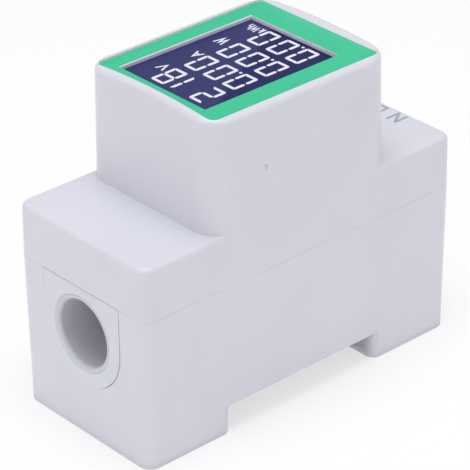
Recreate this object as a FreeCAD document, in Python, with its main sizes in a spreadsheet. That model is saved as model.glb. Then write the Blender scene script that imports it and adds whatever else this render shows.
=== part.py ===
import FreeCAD, Part
import math
import os
import re
import Sketcher

# DIN rail wattmeter, two modules wide, in millimetres.
# X runs along the rail, Y along the meter from the cable mouth to the terminals, Z up to the display.
# The origin lies under the middle of the two feet.

SIZES = {
    # Outside of the case
    "case_width": 36.0,
    "case_length": 77.6,
    "parting_height": 31.4,
    "step_height": 42.1,
    "crown_rise": 1.2,
    "crown_radius": 163.0,
    "step_length": 16.35,
    "case_draft": 0.5,
    "block_draft": 1.0,
    "case_corner": 2.6,
    "block_corner": 5.2,
    "top_rounding": 1.1,
    # Walls and the joint between the two halves
    "wall": 1.8,
    "roof": 1.6,
    "floor_thickness": 1.8,
    "seam_gap": 0.06,
    "fit_gap": 0.1,
    "slide_gap": 0.05,
    "lap_height": 1.2,
    "lap_thickness": 0.8,
    "snap_place": 26.5,
    "snap_width": 6.0,
    "snap_thickness": 1.05,
    "snap_drop": 6.2,
    "barb_reach": 0.5,
    # Seat for the 35 mm rail
    "notch_length": 36.6,
    "notch_depth": 5.9,
    "foot_rounding": 2.0,
    "hook_width": 16.0,
    "hook_reach": 1.7,
    "flange_slot": 1.2,
    # Latch and its spring
    "latch_width": 9.6,
    "latch_wings": 12.6,
    "latch_top": 5.55,
    "latch_ledge": 1.6,
    "latch_lift": 0.3,
    "latch_grip": 2.0,
    "latch_stop": 1.6,
    "nose_width": 8.0,
    "nose_height": 4.5,
    "spring_outer": 3.0,
    "spring_wire": 0.45,
    "spring_turns": 6.0,
    "spring_end_inset": 6.7,
    "spring_inset": 3.8,
    "anchor_width": 2.6,
    "anchor_thickness": 1.6,
    "slot_width": 5.2,
    "slot_length": 1.8,
    # Cable tube and its end plates
    "bore_radius": 6.7,
    "tube_wall": 1.05,
    "tube_height": 21.75,
    "plate_radius": 10.65,
    "flange_rim": 1.4,
    "flange_thickness": 1.3,
    "plate_stand": 0.02,
    "plate_gap": 0.04,
    # Current transformer
    "ring_inset": 10.8,
    "core_inner": 9.2,
    "core_outer": 12.0,
    "core_length": 8.6,
    "tape_thickness": 0.85,
    "ring_slack": 0.2,
    "lead_radius": 0.5,
    "lead_spread": 4.0,
    "lead_height": 11.7,
    "lead_bend": 0.95,
    # Faceplate, display and its board
    "face_height": 64.3,
    "label_border": 1.9,
    "label_end_border": 1.85,
    "label_thickness": 0.3,
    "label_corner": 1.8,
    "window_border": 6.15,
    "window_end_border": 6.2,
    "window_shift_across": -0.75,
    "window_shift_along": -1.65,
    "display_depth": 0.9,
    "glass_margin": 1.6,
    "glass_thickness": 1.4,
    "contact_ledge": 2.6,
    "backlight_thickness": 3.6,
    "board_thickness": 1.6,
    "display_board_gap": 0.8,
    "display_board_end_gap": 0.85,
    "display_board_corner": 3.4,
    "rib_width": 3.0,
    "rib_share": 0.303,
    "catch_reach": 1.1,
    "catch_height": 1.1,
    "glass_pins": 13.0,
    "glass_pin_margin": 1.5,
    "glass_pin_width": 0.5,
    "glass_pin_thickness": 0.3,
    # Main board
    "main_board_height": 30.9,
    "main_board_gap": 1.6,
    "main_board_inset": 2.85,
    "main_board_end_gap": 1.8,
    "ledge_width": 4.0,
    "ledge_depth": 3.4,
    "ledge_inset": 3.4,
    "link_pins": 6.0,
    "link_pitch": 2.54,
    "link_width": 0.64,
    "link_inset": 1.2,
    "link_shift": 4.0,
    "link_stub": 1.0,
    "hole_slack": 0.12,
    # Push-in terminal
    "terminal_shift": 3.4,
    "terminal_pitch": 5.0,
    "terminal_width": 10.4,
    "terminal_length": 8.9,
    "terminal_top": 40.1,
    "terminal_frame": 0.2,
    "nose_step": 0.55,
    "nose_length": 1.5,
    "terminal_floor": 0.6,
    "cavity_width": 3.8,
    "front_wall": 2.1,
    "entry_radius": 1.25,
    "entry_height": 2.4,
    "funnel_depth": 0.5,
    "button_width": 3.0,
    "button_height": 2.0,
    "button_level": 5.45,
    "button_proud": 0.3,
    "button_length": 4.4,
    "collar_rim": 0.3,
    "collar_length": 0.9,
    "contact_width": 3.2,
    "contact_thickness": 0.5,
    "contact_length": 6.1,
    "contact_height": 5.6,
    "solder_pin": 0.8,
    "solder_pitch": 3.0,
    "leaf_width": 2.8,
    "leaf_thickness": 0.3,
    "leaf_top": 0.5,
    "leaf_run": 4.0,
    "leaf_lean": 1.6,
    "leaf_bend": 0.5,
    # Parts on the boards
    "wire_lead": 0.6,
    "lead_stub": 1.0,
    "dropper_width": 8.0,
    "dropper_length": 17.5,
    "dropper_share": 0.59,
    "dropper_across_share": -0.445,
    "dropper_along_share": 0.3,
    "dropper_pitch": 15.0,
    "filter_radius": 4.0,
    "filter_share": 0.5,
    "filter_across_share": 0.315,
    "filter_along_share": 0.166,
    "filter_pitch": 3.5,
    "varistor_radius": 5.0,
    "varistor_thickness": 4.0,
    "varistor_across_share": -0.445,
    "varistor_along_share": 0.6,
    "varistor_pitch": 5.0,
    "varistor_lift": 1.2,
    "varistor_rounding": 1.2,
    "fuse_radius": 1.8,
    "fuse_length": 9.0,
    "fuse_across_share": -0.65,
    "fuse_along_share": 0.82,
    "fuse_pitch": 13.0,
    "fuse_lift": 0.4,
    "fuse_bend": 0.8,
    "bridge_width": 4.0,
    "bridge_length": 4.8,
    "bridge_height": 2.4,
    "bridge_across_share": 0.342,
    "bridge_along_share": 0.339,
    "chip_width": 7.5,
    "chip_length": 10.3,
    "chip_height": 2.4,
    "chip_across_share": 0.342,
    "chip_along_share": 0.54,
    "chip_legs": 8.0,
    "chip_pitch": 1.27,
    "bridge_pitch": 2.54,
    "leg_width": 0.42,
    "leg_thickness": 0.25,
    "leg_reach": 1.4,
    "foot_length": 0.7,
    "chip_lift": 0.1,
    "controller_width": 7.5,
    "controller_length": 15.4,
    "controller_height": 2.3,
    "controller_legs": 12.0,
    "controller_along": 3.0,
    "crystal_width": 4.6,
    "crystal_length": 11.2,
    "crystal_height": 3.4,
    "crystal_across_share": -0.65,
}

# Sizes that follow from the ones above
FOLLOWING = {
    "crown_height": "face_height + crown_rise",
    "block_length": "case_length - 2 * step_length",
    "label_width": "case_width - 2 * label_border",
    "label_length": "block_length - 2 * label_end_border",
    "window_width": "case_width - 2 * window_border",
    "window_length": "block_length - 2 * window_end_border",
    "glass_pin_pitch": "(window_width - glass_pin_margin) / (glass_pins - 1)",
    "display_board_width": "case_width - 2 * wall - 2 * display_board_gap",
    "display_board_length": "block_length - 2 * wall - 2 * display_board_end_gap",
    "rib_place": "rib_share * display_board_length",
    "crystal_across": "crystal_across_share * display_board_width / 2",
    "main_board_width": "case_width - 2 * wall - 2 * main_board_gap",
    "main_board_near": "block_length / 2 - main_board_inset",
    "main_board_far": "case_length / 2 - wall - main_board_end_gap",
    "main_board_length": "main_board_near + main_board_far",
    "link_place": "main_board_width / 2 - link_inset",
    "part_room": "face_height - display_depth - 2 * glass_thickness - backlight_thickness"
                 " - 2 * board_thickness - main_board_height",
    "ring_place": "case_length / 2 - ring_inset",
    "spring_place": "notch_length / 2 + spring_inset",
    "spring_length": "case_length / 2 - spring_place - spring_end_inset",
    "dropper_height": "dropper_share * part_room",
    "filter_height": "filter_share * part_room",
    "dropper_across": "dropper_across_share * main_board_width / 2",
    "dropper_along": "dropper_along_share * main_board_length - main_board_near",
    "filter_across": "filter_across_share * main_board_width / 2",
    "filter_along": "filter_along_share * main_board_length - main_board_near",
    "varistor_across": "varistor_across_share * main_board_width / 2",
    "varistor_along": "varistor_along_share * main_board_length - main_board_near",
    "fuse_across": "fuse_across_share * main_board_width / 2",
    "fuse_along": "fuse_along_share * main_board_length - main_board_near",
    "bridge_across": "bridge_across_share * main_board_width / 2",
    "bridge_along": "bridge_along_share * main_board_length - main_board_near",
    "chip_across": "chip_across_share * main_board_width / 2",
    "chip_along": "chip_along_share * main_board_length - main_board_near",
}

SHEET = "Sizes"
PLANES = {"top": "XY_Plane", "front": "XZ_Plane", "side": "YZ_Plane"}

# Formulas that several sub-parts share
SEAM_LOW = "parting_height - seam_gap / 2"
SEAM_HIGH = "parting_height + seam_gap / 2"
INSIDE_FLOOR = "notch_depth + floor_thickness"
HALF_LENGTH = "case_length / 2"
INNER_HALF_WIDTH = "case_width / 2 - wall"
INNER_HALF_LENGTH = "case_length / 2 - wall"
TUBE_OUTER = "bore_radius + tube_wall"
FOOT_END = "case_length / 2 - tan(case_draft * 1deg) * parting_height - slide_gap"
TUBE_END = "case_length / 2 + plate_stand"
PLATE_TOP = "parting_height - seam_gap / 2 - plate_gap"
FLANGE_OUTER = ("case_length / 2 - wall - slide_gap"
                " - tan(case_draft * 1deg) * (parting_height - tube_height + plate_radius + 2 * flange_rim)")
ROOF_UNDERSIDE = "face_height - label_thickness - roof"
GLASS_TOP = "face_height - display_depth"
GLASS_BACK = "face_height - display_depth - 2 * glass_thickness"
DISPLAY_BOARD_TOP = "face_height - display_depth - 2 * glass_thickness - backlight_thickness"
MAIN_BOARD_TOP = "main_board_height + board_thickness"
GLASS_LEFT = "window_shift_across - window_width / 2 - glass_margin"
GLASS_RIGHT = "window_shift_across + window_width / 2 + glass_margin"
GLASS_NEAR = "window_shift_along - window_length / 2 - glass_margin"
GLASS_FAR = "window_shift_along + window_length / 2 + glass_margin"
TERMINAL_BACK = "case_length / 2 - wall - 2 * fit_gap - terminal_length"
TERMINAL_FRONT = "case_length / 2 - wall - 2 * fit_gap"
NOSE_FRONT = "case_length / 2 - wall - 2 * fit_gap + nose_length"
CAVITY_FRONT = "case_length / 2 - wall - 2 * fit_gap + nose_length - front_wall"
CAVITY_FLOOR = "main_board_height + board_thickness + terminal_floor"
POLE_N = "terminal_shift + terminal_pitch / 2"
POLE_L = "terminal_shift - terminal_pitch / 2"
CONTACT_BACK = "case_length / 2 - wall - 2 * fit_gap - terminal_length + 1.6"
LEDGE_SPANS = (("-main_board_near + ledge_inset - ledge_width / 2",
                "-main_board_near + ledge_inset + ledge_width / 2"),
               ("main_board_far - ledge_inset - ledge_width / 2",
                "main_board_far - ledge_inset + ledge_width / 2"))
CT_LEAD_END = "-main_board_near + 0.6 + lead_bend"
SPRING_LEVEL = "latch_top - spring_outer / 2 - 1.5 * fit_gap"

doc = FreeCAD.newDocument("DinRailWattmeter")


def formula(text):
    """Turn a formula of size names into one that reads the sheet."""
    def sheet_cell(match):
        word = match.group(0)
        return SHEET + "." + word if word in SIZES or word in FOLLOWING else word
    return re.sub(r"[a-z][a-z_]*", sheet_cell, text)


def value_of(text):
    """Present value of a formula, used to place rough geometry near its final place."""
    result = doc.getObject(SHEET).evalExpression(formula(text))
    return float(getattr(result, "Value", result))


def make_sheet():
    """Write every driving dimension into the spreadsheet."""
    sheet = doc.addObject("Spreadsheet::Sheet", SHEET)
    rules = {alias: "=" + rule for alias, rule in FOLLOWING.items()}
    for row, (alias, value) in enumerate({**SIZES, **rules}.items(), start=1):
        sheet.set(f"A{row}", alias)
        sheet.set(f"B{row}", str(value))
        sheet.setAlias(f"B{row}", alias)
    doc.recompute()


def new_body(label):
    """Start a body named after its sub-part."""
    body = doc.addObject("PartDesign::Body", label)
    body.Label = label
    return body


def new_sketch(body, plane, offset="0"):
    """Attach a sketch to one of the body's own planes, moved along the plane's normal.

    The front plane's normal points to -Y, the side plane's to +X and the top plane's to +Z.
    """
    sketch = body.newObject("Sketcher::SketchObject", body.Name + "_sketch")
    support = next(item for item in body.Origin.OriginFeatures if item.Role == PLANES[plane])
    sketch.AttachmentSupport = [(support, "")]
    sketch.MapMode = "FlatFace"
    sketch.setExpression("AttachmentOffset.Base.z", formula(offset))
    return sketch


def bind_datum(sketch, constraint, text):
    """Add one constraint and bind its value to a formula."""
    index = sketch.addConstraint(constraint)
    name = f"size_{index}"
    sketch.renameConstraint(index, name)
    sketch.setExpression("Constraints." + name, formula(text))


def add_outline(sketch, corners):
    """Add a closed outline of straight lines with each corner bound to a pair of formulas."""
    first = sketch.GeometryCount
    count = len(corners)
    rough = [FreeCAD.Vector(value_of(across), value_of(along), 0) for across, along in corners]
    for k in range(count):
        sketch.addGeometry(Part.LineSegment(rough[k], rough[(k + 1) % count]), False)
    for k in range(count):
        sketch.addConstraint(
            Sketcher.Constraint("Coincident", first + k, 2, first + (k + 1) % count, 1))
    for k, (across, along) in enumerate(corners):
        bind_datum(sketch, Sketcher.Constraint("DistanceX", -1, 1, first + k, 1, rough[k].x), across)
        bind_datum(sketch, Sketcher.Constraint("DistanceY", -1, 1, first + k, 1, rough[k].y), along)


def add_rectangle(sketch, left, right, low, high):
    """Add a rectangle whose four sides are bound to formulas."""
    add_outline(sketch, [(left, low), (right, low), (right, high), (left, high)])


def add_square(sketch, across, along, side):
    """Add a square round a middle point."""
    add_rectangle(sketch, f"{across} - {side} / 2", f"{across} + {side} / 2",
                  f"{along} - {side} / 2", f"{along} + {side} / 2")


def add_circle(sketch, across, along, radius):
    """Add a circle whose centre and radius are bound to formulas."""
    rough = FreeCAD.Vector(value_of(across), value_of(along), 0)
    size = value_of(radius)
    index = sketch.addGeometry(Part.Circle(rough, FreeCAD.Vector(0, 0, 1), size), False)
    bind_datum(sketch, Sketcher.Constraint("DistanceX", -1, 1, index, 3, rough.x), across)
    bind_datum(sketch, Sketcher.Constraint("DistanceY", -1, 1, index, 3, rough.y), along)
    bind_datum(sketch, Sketcher.Constraint("Radius", index, size), radius)


def add_hexagon(sketch, across, along, radius):
    """Add a hexagon, the section of thin wires and pins and the shape of their holes."""
    turns = [f"{60 * k}deg" for k in range(6)]
    add_outline(sketch, [(f"{across} + ({radius}) * cos({turn})", f"{along} + ({radius}) * sin({turn})")
                         for turn in turns])


def add_arch(sketch, radius, centre, top):
    """Add a U outline: a half circle below its centre, closed by two sides and a flat top."""
    size, middle, height = value_of(radius), value_of(centre), value_of(top)
    circle = Part.Circle(FreeCAD.Vector(0, middle, 0), FreeCAD.Vector(0, 0, 1), size)
    arc = sketch.addGeometry(Part.ArcOfCircle(circle, math.pi, 2 * math.pi), False)
    left_foot = FreeCAD.Vector(-size, middle, 0)
    right_foot = FreeCAD.Vector(size, middle, 0)
    left_head = FreeCAD.Vector(-size, height, 0)
    right_head = FreeCAD.Vector(size, height, 0)
    right = sketch.addGeometry(Part.LineSegment(right_foot, right_head), False)
    head = sketch.addGeometry(Part.LineSegment(right_head, left_head), False)
    left = sketch.addGeometry(Part.LineSegment(left_head, left_foot), False)
    sketch.addConstraint(Sketcher.Constraint("Tangent", arc, 2, right, 1))
    sketch.addConstraint(Sketcher.Constraint("Coincident", right, 2, head, 1))
    sketch.addConstraint(Sketcher.Constraint("Coincident", head, 2, left, 1))
    sketch.addConstraint(Sketcher.Constraint("Tangent", left, 2, arc, 1))
    sketch.addConstraint(Sketcher.Constraint("Vertical", left))
    sketch.addConstraint(Sketcher.Constraint("Horizontal", head))
    sketch.addConstraint(Sketcher.Constraint("PointOnObject", arc, 3, -2))
    bind_datum(sketch, Sketcher.Constraint("Radius", arc, size), radius)
    bind_datum(sketch, Sketcher.Constraint("DistanceY", -1, 1, arc, 3, middle), centre)
    bind_datum(sketch, Sketcher.Constraint("DistanceY", -1, 1, head, 1, height), top)


def add_bent_path(sketch, start, end, bend):
    """Add a path that runs level from its start, bends over an arc and drops to its end."""
    from_x, level = value_of(start[0]), value_of(start[1])
    to_x, bottom = value_of(end[0]), value_of(end[1])
    size = value_of(bend)
    way = 1 if to_x > from_x else -1
    centre = FreeCAD.Vector(to_x - way * size, level - size, 0)
    leaves = FreeCAD.Vector(centre.x, level, 0)
    drops = FreeCAD.Vector(to_x, centre.y, 0)
    run = sketch.addGeometry(Part.LineSegment(FreeCAD.Vector(from_x, level, 0), leaves), False)
    circle = Part.Circle(centre, FreeCAD.Vector(0, 0, 1), size)
    span = (0, math.pi / 2) if way > 0 else (math.pi / 2, math.pi)
    arc = sketch.addGeometry(Part.ArcOfCircle(circle, *span), False)
    drop = sketch.addGeometry(Part.LineSegment(drops, FreeCAD.Vector(to_x, bottom, 0)), False)
    high, low = (2, 1) if way > 0 else (1, 2)
    sketch.addConstraint(Sketcher.Constraint("Tangent", run, 2, arc, high))
    sketch.addConstraint(Sketcher.Constraint("Tangent", arc, low, drop, 1))
    sketch.addConstraint(Sketcher.Constraint("Horizontal", run))
    sketch.addConstraint(Sketcher.Constraint("Vertical", drop))
    bind_datum(sketch, Sketcher.Constraint("DistanceX", -1, 1, run, 1, from_x), start[0])
    bind_datum(sketch, Sketcher.Constraint("DistanceY", -1, 1, run, 1, level), start[1])
    bind_datum(sketch, Sketcher.Constraint("DistanceX", -1, 1, drop, 2, to_x), end[0])
    bind_datum(sketch, Sketcher.Constraint("DistanceY", -1, 1, drop, 2, bottom), end[1])
    bind_datum(sketch, Sketcher.Constraint("Radius", arc, size), bend)


def extrude(body, kind, sketch, length, reverse=False, both=False, taper=None):
    """Pad or pocket a sketch; the length may run both ways and the sides may be drafted."""
    feature = body.newObject("PartDesign::" + kind, body.Name + "_" + kind.lower())
    feature.Profile = sketch
    feature.setExpression("Length", formula(length))
    feature.Reversed = reverse
    if both:
        feature.SideType = "Symmetric"
    if taper:
        feature.setExpression("TaperAngle", formula(taper))
    return feature


def draft_sides(body, angle, across, from_top=False):
    """Lean in the two sides that face along X, or along Y, going up from the solid's bottom.

    With from_top the sides keep their place at the top and lean in going down.
    """
    doc.recompute()
    base = body.Tip
    sides = []
    still = ""
    for number, face in enumerate(base.Shape.Faces, start=1):
        normal = face.normalAt(0, 0)
        if normal.z * (-1 if from_top else 1) < -0.9:
            still = f"Face{number}"
        elif abs(normal.x if across else normal.y) > 0.9:
            sides.append(f"Face{number}")
    feature = body.newObject("PartDesign::Draft", body.Name + "_draft")
    feature.Base = (base, sides)
    feature.NeutralPlane = (base, [still])
    feature.Reversed = from_top
    feature.setExpression("Angle", formula(angle))
    return feature


def round_edges(body, radius, chosen, name="rounding"):
    """Round the edges of the body so far that the test picks."""
    doc.recompute()
    base = body.Tip
    names = [f"Edge{number}" for number, edge in enumerate(base.Shape.Edges, start=1) if chosen(edge)]
    feature = body.newObject("PartDesign::Fillet", body.Name + "_" + name)
    feature.Base = (base, names)
    feature.setExpression("Radius", formula(radius))
    return feature


def bevel_edges(body, size, chosen):
    """Bevel the edges of the body so far that the test picks."""
    doc.recompute()
    base = body.Tip
    names = [f"Edge{number}" for number, edge in enumerate(base.Shape.Edges, start=1) if chosen(edge)]
    feature = body.newObject("PartDesign::Chamfer", body.Name + "_bevel")
    feature.Base = (base, names)
    feature.setExpression("Size", formula(size))
    return feature


def add_wire(body, radius, across, start, end, bend):
    """Add a thin wire that leaves level along Y and bends down, in a plane square to X."""
    path = new_sketch(body, "side", across)
    add_bent_path(path, start, end, bend)
    outline = new_sketch(body, "front", f"-({start[0]})")
    add_hexagon(outline, across, start[1], radius)
    feature = body.newObject("PartDesign::AdditivePipe", body.Name + "_wire")
    feature.Profile = outline
    feature.Spine = (path, [])
    return feature


def combine(body, kind, tool):
    """Fuse a helper body into this one, or cut it out."""
    feature = body.newObject("PartDesign::Boolean", body.Name + "_" + kind.lower())
    feature.Type = kind
    feature.setObjects([tool])
    return feature


def is_upright(edge):
    """Tell whether an edge runs up the part."""
    box = edge.BoundBox
    return box.ZLength > 3 * (box.XLength + box.YLength) and box.ZLength > 0.2


def is_level_at(edge, height):
    """Tell whether an edge lies in one level plane."""
    box = edge.BoundBox
    return box.ZLength < 0.05 and abs(box.Center.z - height) < 0.05


def make_base_housing():
    """Lower half of the case: feet, rail notch, end slots, latch channel and board ledges."""
    body = new_body("base_housing")
    outside = new_sketch(body, "top", SEAM_LOW)
    add_rectangle(outside, "-case_width / 2", "case_width / 2", f"-{HALF_LENGTH}", HALF_LENGTH)
    extrude(body, "Pad", outside, SEAM_LOW, reverse=True)
    draft_sides(body, "case_draft", True, from_top=True)
    draft_sides(body, "case_draft", False, from_top=True)
    round_edges(body, "case_corner", is_upright, "corners")

    # Half-thickness lap that the cover slips over
    inset = "(wall - lap_thickness)"
    lap = new_sketch(body, "top", SEAM_LOW)
    add_rectangle(lap, f"-case_width / 2 + {inset}", f"case_width / 2 - {inset}",
                  f"-{HALF_LENGTH} + {inset}", f"{HALF_LENGTH} - {inset}")
    extrude(body, "Pad", lap, "lap_height")
    lap_level = SIZES["parting_height"] + SIZES["lap_height"] / 2
    round_edges(body, "case_corner - wall + lap_thickness",
                lambda edge: is_upright(edge) and edge.BoundBox.Center.z > lap_level - 0.2, "lap_corners")

    cavity = new_sketch(body, "top", f"{SEAM_LOW} + lap_height")
    add_rectangle(cavity, f"-({INNER_HALF_WIDTH})", INNER_HALF_WIDTH,
                  f"-({INNER_HALF_LENGTH})", INNER_HALF_LENGTH)
    extrude(body, "Pocket", cavity, f"{SEAM_LOW} + lap_height - ({INSIDE_FLOOR})", taper="-case_draft")
    inner = SIZES["case_width"] / 2 - SIZES["wall"]
    round_edges(body, "case_corner - wall",
                lambda edge: (is_upright(edge) and edge.BoundBox.ZLength > 15
                              and abs(edge.BoundBox.Center.x) < inner), "inner_corners")

    notch = new_sketch(body, "side")
    add_rectangle(notch, "-notch_length / 2", "notch_length / 2", "-1", "notch_depth")
    extrude(body, "Pocket", notch, "case_width * 1.5", both=True)
    mid_notch = SIZES["notch_depth"] / 2
    round_edges(body, "foot_rounding",
                lambda edge: (is_upright(edge) and abs(edge.BoundBox.Center.z - mid_notch) < 0.2
                              and abs(abs(edge.BoundBox.Center.y) - SIZES["notch_length"] / 2) < 0.2),
                "feet")

    # The near foot is hollow all over, the far one beside the latch channel
    side = "case_width / 2 - 1.2 * wall"
    end = f"{HALF_LENGTH} - 1.2 * wall"
    foot_end = "notch_length / 2 + wall"
    channel_wall = "latch_wings / 2 + fit_gap + wall"
    hollows = new_sketch(body, "top", INSIDE_FLOOR)
    add_rectangle(hollows, f"-({side})", side, f"-({end})", f"-({foot_end})")
    add_rectangle(hollows, f"-({side})", f"-({channel_wall})", foot_end, end)
    add_rectangle(hollows, channel_wall, side, foot_end, end)
    extrude(body, "Pocket", hollows, f"{INSIDE_FLOOR} - floor_thickness")

    slots = new_sketch(body, "front")
    add_arch(slots, "plate_radius + fit_gap", "tube_height", "parting_height + lap_height + 1")
    extrude(body, "Pocket", slots, "case_length * 1.5", both=True)

    # Recesses for the cover's snap barbs
    recess_low = f"{SEAM_HIGH} - snap_drop"
    recesses = new_sketch(body, "top", recess_low)
    for place in ("-snap_place", "snap_place"):
        for edge_near, edge_far in ((f"-({INNER_HALF_WIDTH}) - barb_reach - fit_gap",
                                     f"-({INNER_HALF_WIDTH}) + wall / 2"),
                                    (f"{INNER_HALF_WIDTH} - wall / 2",
                                     f"{INNER_HALF_WIDTH} + barb_reach + fit_gap")):
            add_rectangle(recesses, edge_near, edge_far, f"{place} - snap_width / 2 - fit_gap",
                          f"{place} + snap_width / 2 + fit_gap")
    extrude(body, "Pocket", recesses, "4 * barb_reach + 2 * fit_gap", reverse=True)

    # Ledges that carry the main board
    ledges = new_sketch(body, "top", "notch_depth + floor_thickness / 2")
    ledge_edge = f"{INNER_HALF_WIDTH} - ledge_depth"
    for low, high in LEDGE_SPANS:
        add_rectangle(ledges, f"-({INNER_HALF_WIDTH}) - wall / 4", f"-({ledge_edge})", low, high)
        add_rectangle(ledges, ledge_edge, f"{INNER_HALF_WIDTH} + wall / 4", low, high)
    extrude(body, "Pad", ledges, "main_board_height - notch_depth - floor_thickness / 2")

    # Fixed hook under the rail's near flange
    hook = new_sketch(body, "side")
    hook_root = "-notch_length / 2"
    add_outline(hook, [(f"{hook_root} - wall", "latch_lift"), (hook_root, "latch_lift"),
                       (f"{hook_root} + hook_reach", "latch_lift + hook_reach"),
                       (f"{hook_root} + hook_reach", "notch_depth - flange_slot"),
                       (f"{hook_root} - wall", "notch_depth - flange_slot")])
    extrude(body, "Pad", hook, "hook_width", both=True)

    # Channel of the latch: a wide slot over a narrow one, and a gate for the nose
    wide = new_sketch(body, "front", "-notch_length / 2 - latch_stop")
    add_rectangle(wide, "-latch_wings / 2 - fit_gap", "latch_wings / 2 + fit_gap",
                  "latch_ledge", "latch_top + fit_gap")
    extrude(body, "Pocket", wide, "case_length")
    narrow = new_sketch(body, "front", "-notch_length / 2 - latch_stop")
    add_rectangle(narrow, "-latch_width / 2 - fit_gap", "latch_width / 2 + fit_gap",
                  "-1", "latch_ledge + fit_gap")
    extrude(body, "Pocket", narrow, "case_length")
    gate = new_sketch(body, "front", "-notch_length / 2 + 1")
    add_rectangle(gate, "-nose_width / 2 - fit_gap", "nose_width / 2 + fit_gap",
                  "-1", "nose_height + fit_gap")
    extrude(body, "Pocket", gate, "latch_stop + 2")

    # Anchor that the latch spring pushes on
    anchor = new_sketch(body, "top", "latch_top - spring_outer")
    anchor_near = "spring_place + spring_length"
    add_rectangle(anchor, "-anchor_width / 2", "anchor_width / 2", anchor_near,
                  f"{anchor_near} + anchor_thickness")
    extrude(body, "Pad", anchor, "spring_outer + floor_thickness / 2")
    return body


def make_cover_block():
    """Helper solid: outside of the display block, with its drafted sides and arched top."""
    body = new_body("cover_block")
    outside = new_sketch(body, "top", SEAM_HIGH)
    half_length = f"block_length / 2 + tan(block_draft * 1deg) * (step_height - ({SEAM_HIGH}))"
    add_rectangle(outside, "-case_width / 2", "case_width / 2", f"-({half_length})", half_length)
    extrude(body, "Pad", outside, f"crown_height + 1 - ({SEAM_HIGH})")
    draft_sides(body, "case_draft", True)
    draft_sides(body, "block_draft", False)
    round_edges(body, "block_corner", is_upright, "corners")

    above = new_sketch(body, "front")
    radius = SIZES["crown_radius"]
    centre = value_of("crown_height") - radius
    span = SIZES["case_width"] / radius
    circle = Part.Circle(FreeCAD.Vector(0, centre, 0), FreeCAD.Vector(0, 0, 1), radius)
    arc = above.addGeometry(Part.ArcOfCircle(circle, math.pi / 2 - span, math.pi / 2 + span), False)
    ends = [FreeCAD.Vector(radius * math.sin(side * span), centre + radius * math.cos(span), 0)
            for side in (1, -1)]
    heads = [FreeCAD.Vector(end.x, value_of("crown_height") + 5, 0) for end in ends]
    left = above.addGeometry(Part.LineSegment(ends[1], heads[1]), False)
    head = above.addGeometry(Part.LineSegment(heads[1], heads[0]), False)
    right = above.addGeometry(Part.LineSegment(heads[0], ends[0]), False)
    for first, first_end, second, second_end in ((arc, 2, left, 1), (left, 2, head, 1),
                                                 (head, 2, right, 1), (right, 2, arc, 1)):
        above.addConstraint(Sketcher.Constraint("Coincident", first, first_end, second, second_end))
    for constraint in (Sketcher.Constraint("Vertical", left), Sketcher.Constraint("Vertical", right),
                       Sketcher.Constraint("Horizontal", head),
                       Sketcher.Constraint("PointOnObject", arc, 3, -2)):
        above.addConstraint(constraint)
    bind_datum(above, Sketcher.Constraint("Radius", arc, radius), "crown_radius")
    bind_datum(above, Sketcher.Constraint("DistanceY", -1, 1, arc, 3, centre),
               "crown_height - crown_radius")
    bind_datum(above, Sketcher.Constraint("DistanceX", -1, 1, head, 2, heads[0].x), "case_width")
    bind_datum(above, Sketcher.Constraint("DistanceY", -1, 1, head, 2, heads[0].y), "crown_height + 5")
    extrude(body, "Pocket", above, "case_length * 1.5", both=True)
    near_top = value_of("crown_height") - 3
    round_edges(body, "top_rounding",
                lambda edge: edge.BoundBox.ZMin > near_top and not is_upright(edge), "rim")
    return body


def make_cover_core():
    """Helper solid: the room inside the display block."""
    body = new_body("cover_core")
    inside = new_sketch(body, "top", SEAM_HIGH)
    half_length = f"block_length / 2 - wall + tan(block_draft * 1deg) * (step_height - ({SEAM_HIGH}))"
    add_rectangle(inside, f"-({INNER_HALF_WIDTH})", INNER_HALF_WIDTH, f"-({half_length})", half_length)
    extrude(body, "Pad", inside, f"{ROOF_UNDERSIDE} - ({SEAM_HIGH})")
    draft_sides(body, "case_draft", True)
    draft_sides(body, "block_draft", False)
    round_edges(body, "block_corner - wall", is_upright, "corners")
    return body


def make_label_recess():
    """Helper solid: the round-cornered room that the faceplate lies in."""
    body = new_body("label_recess")
    sketch = new_sketch(body, "top", "face_height - label_thickness")
    across = "label_width / 2 + fit_gap / 2"
    along = "label_length / 2 + fit_gap / 2"
    add_rectangle(sketch, f"-({across})", across, f"-({along})", along)
    extrude(body, "Pad", sketch, "crown_height - face_height + 2")
    round_edges(body, "label_corner", is_upright, "corners")
    return body


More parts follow.
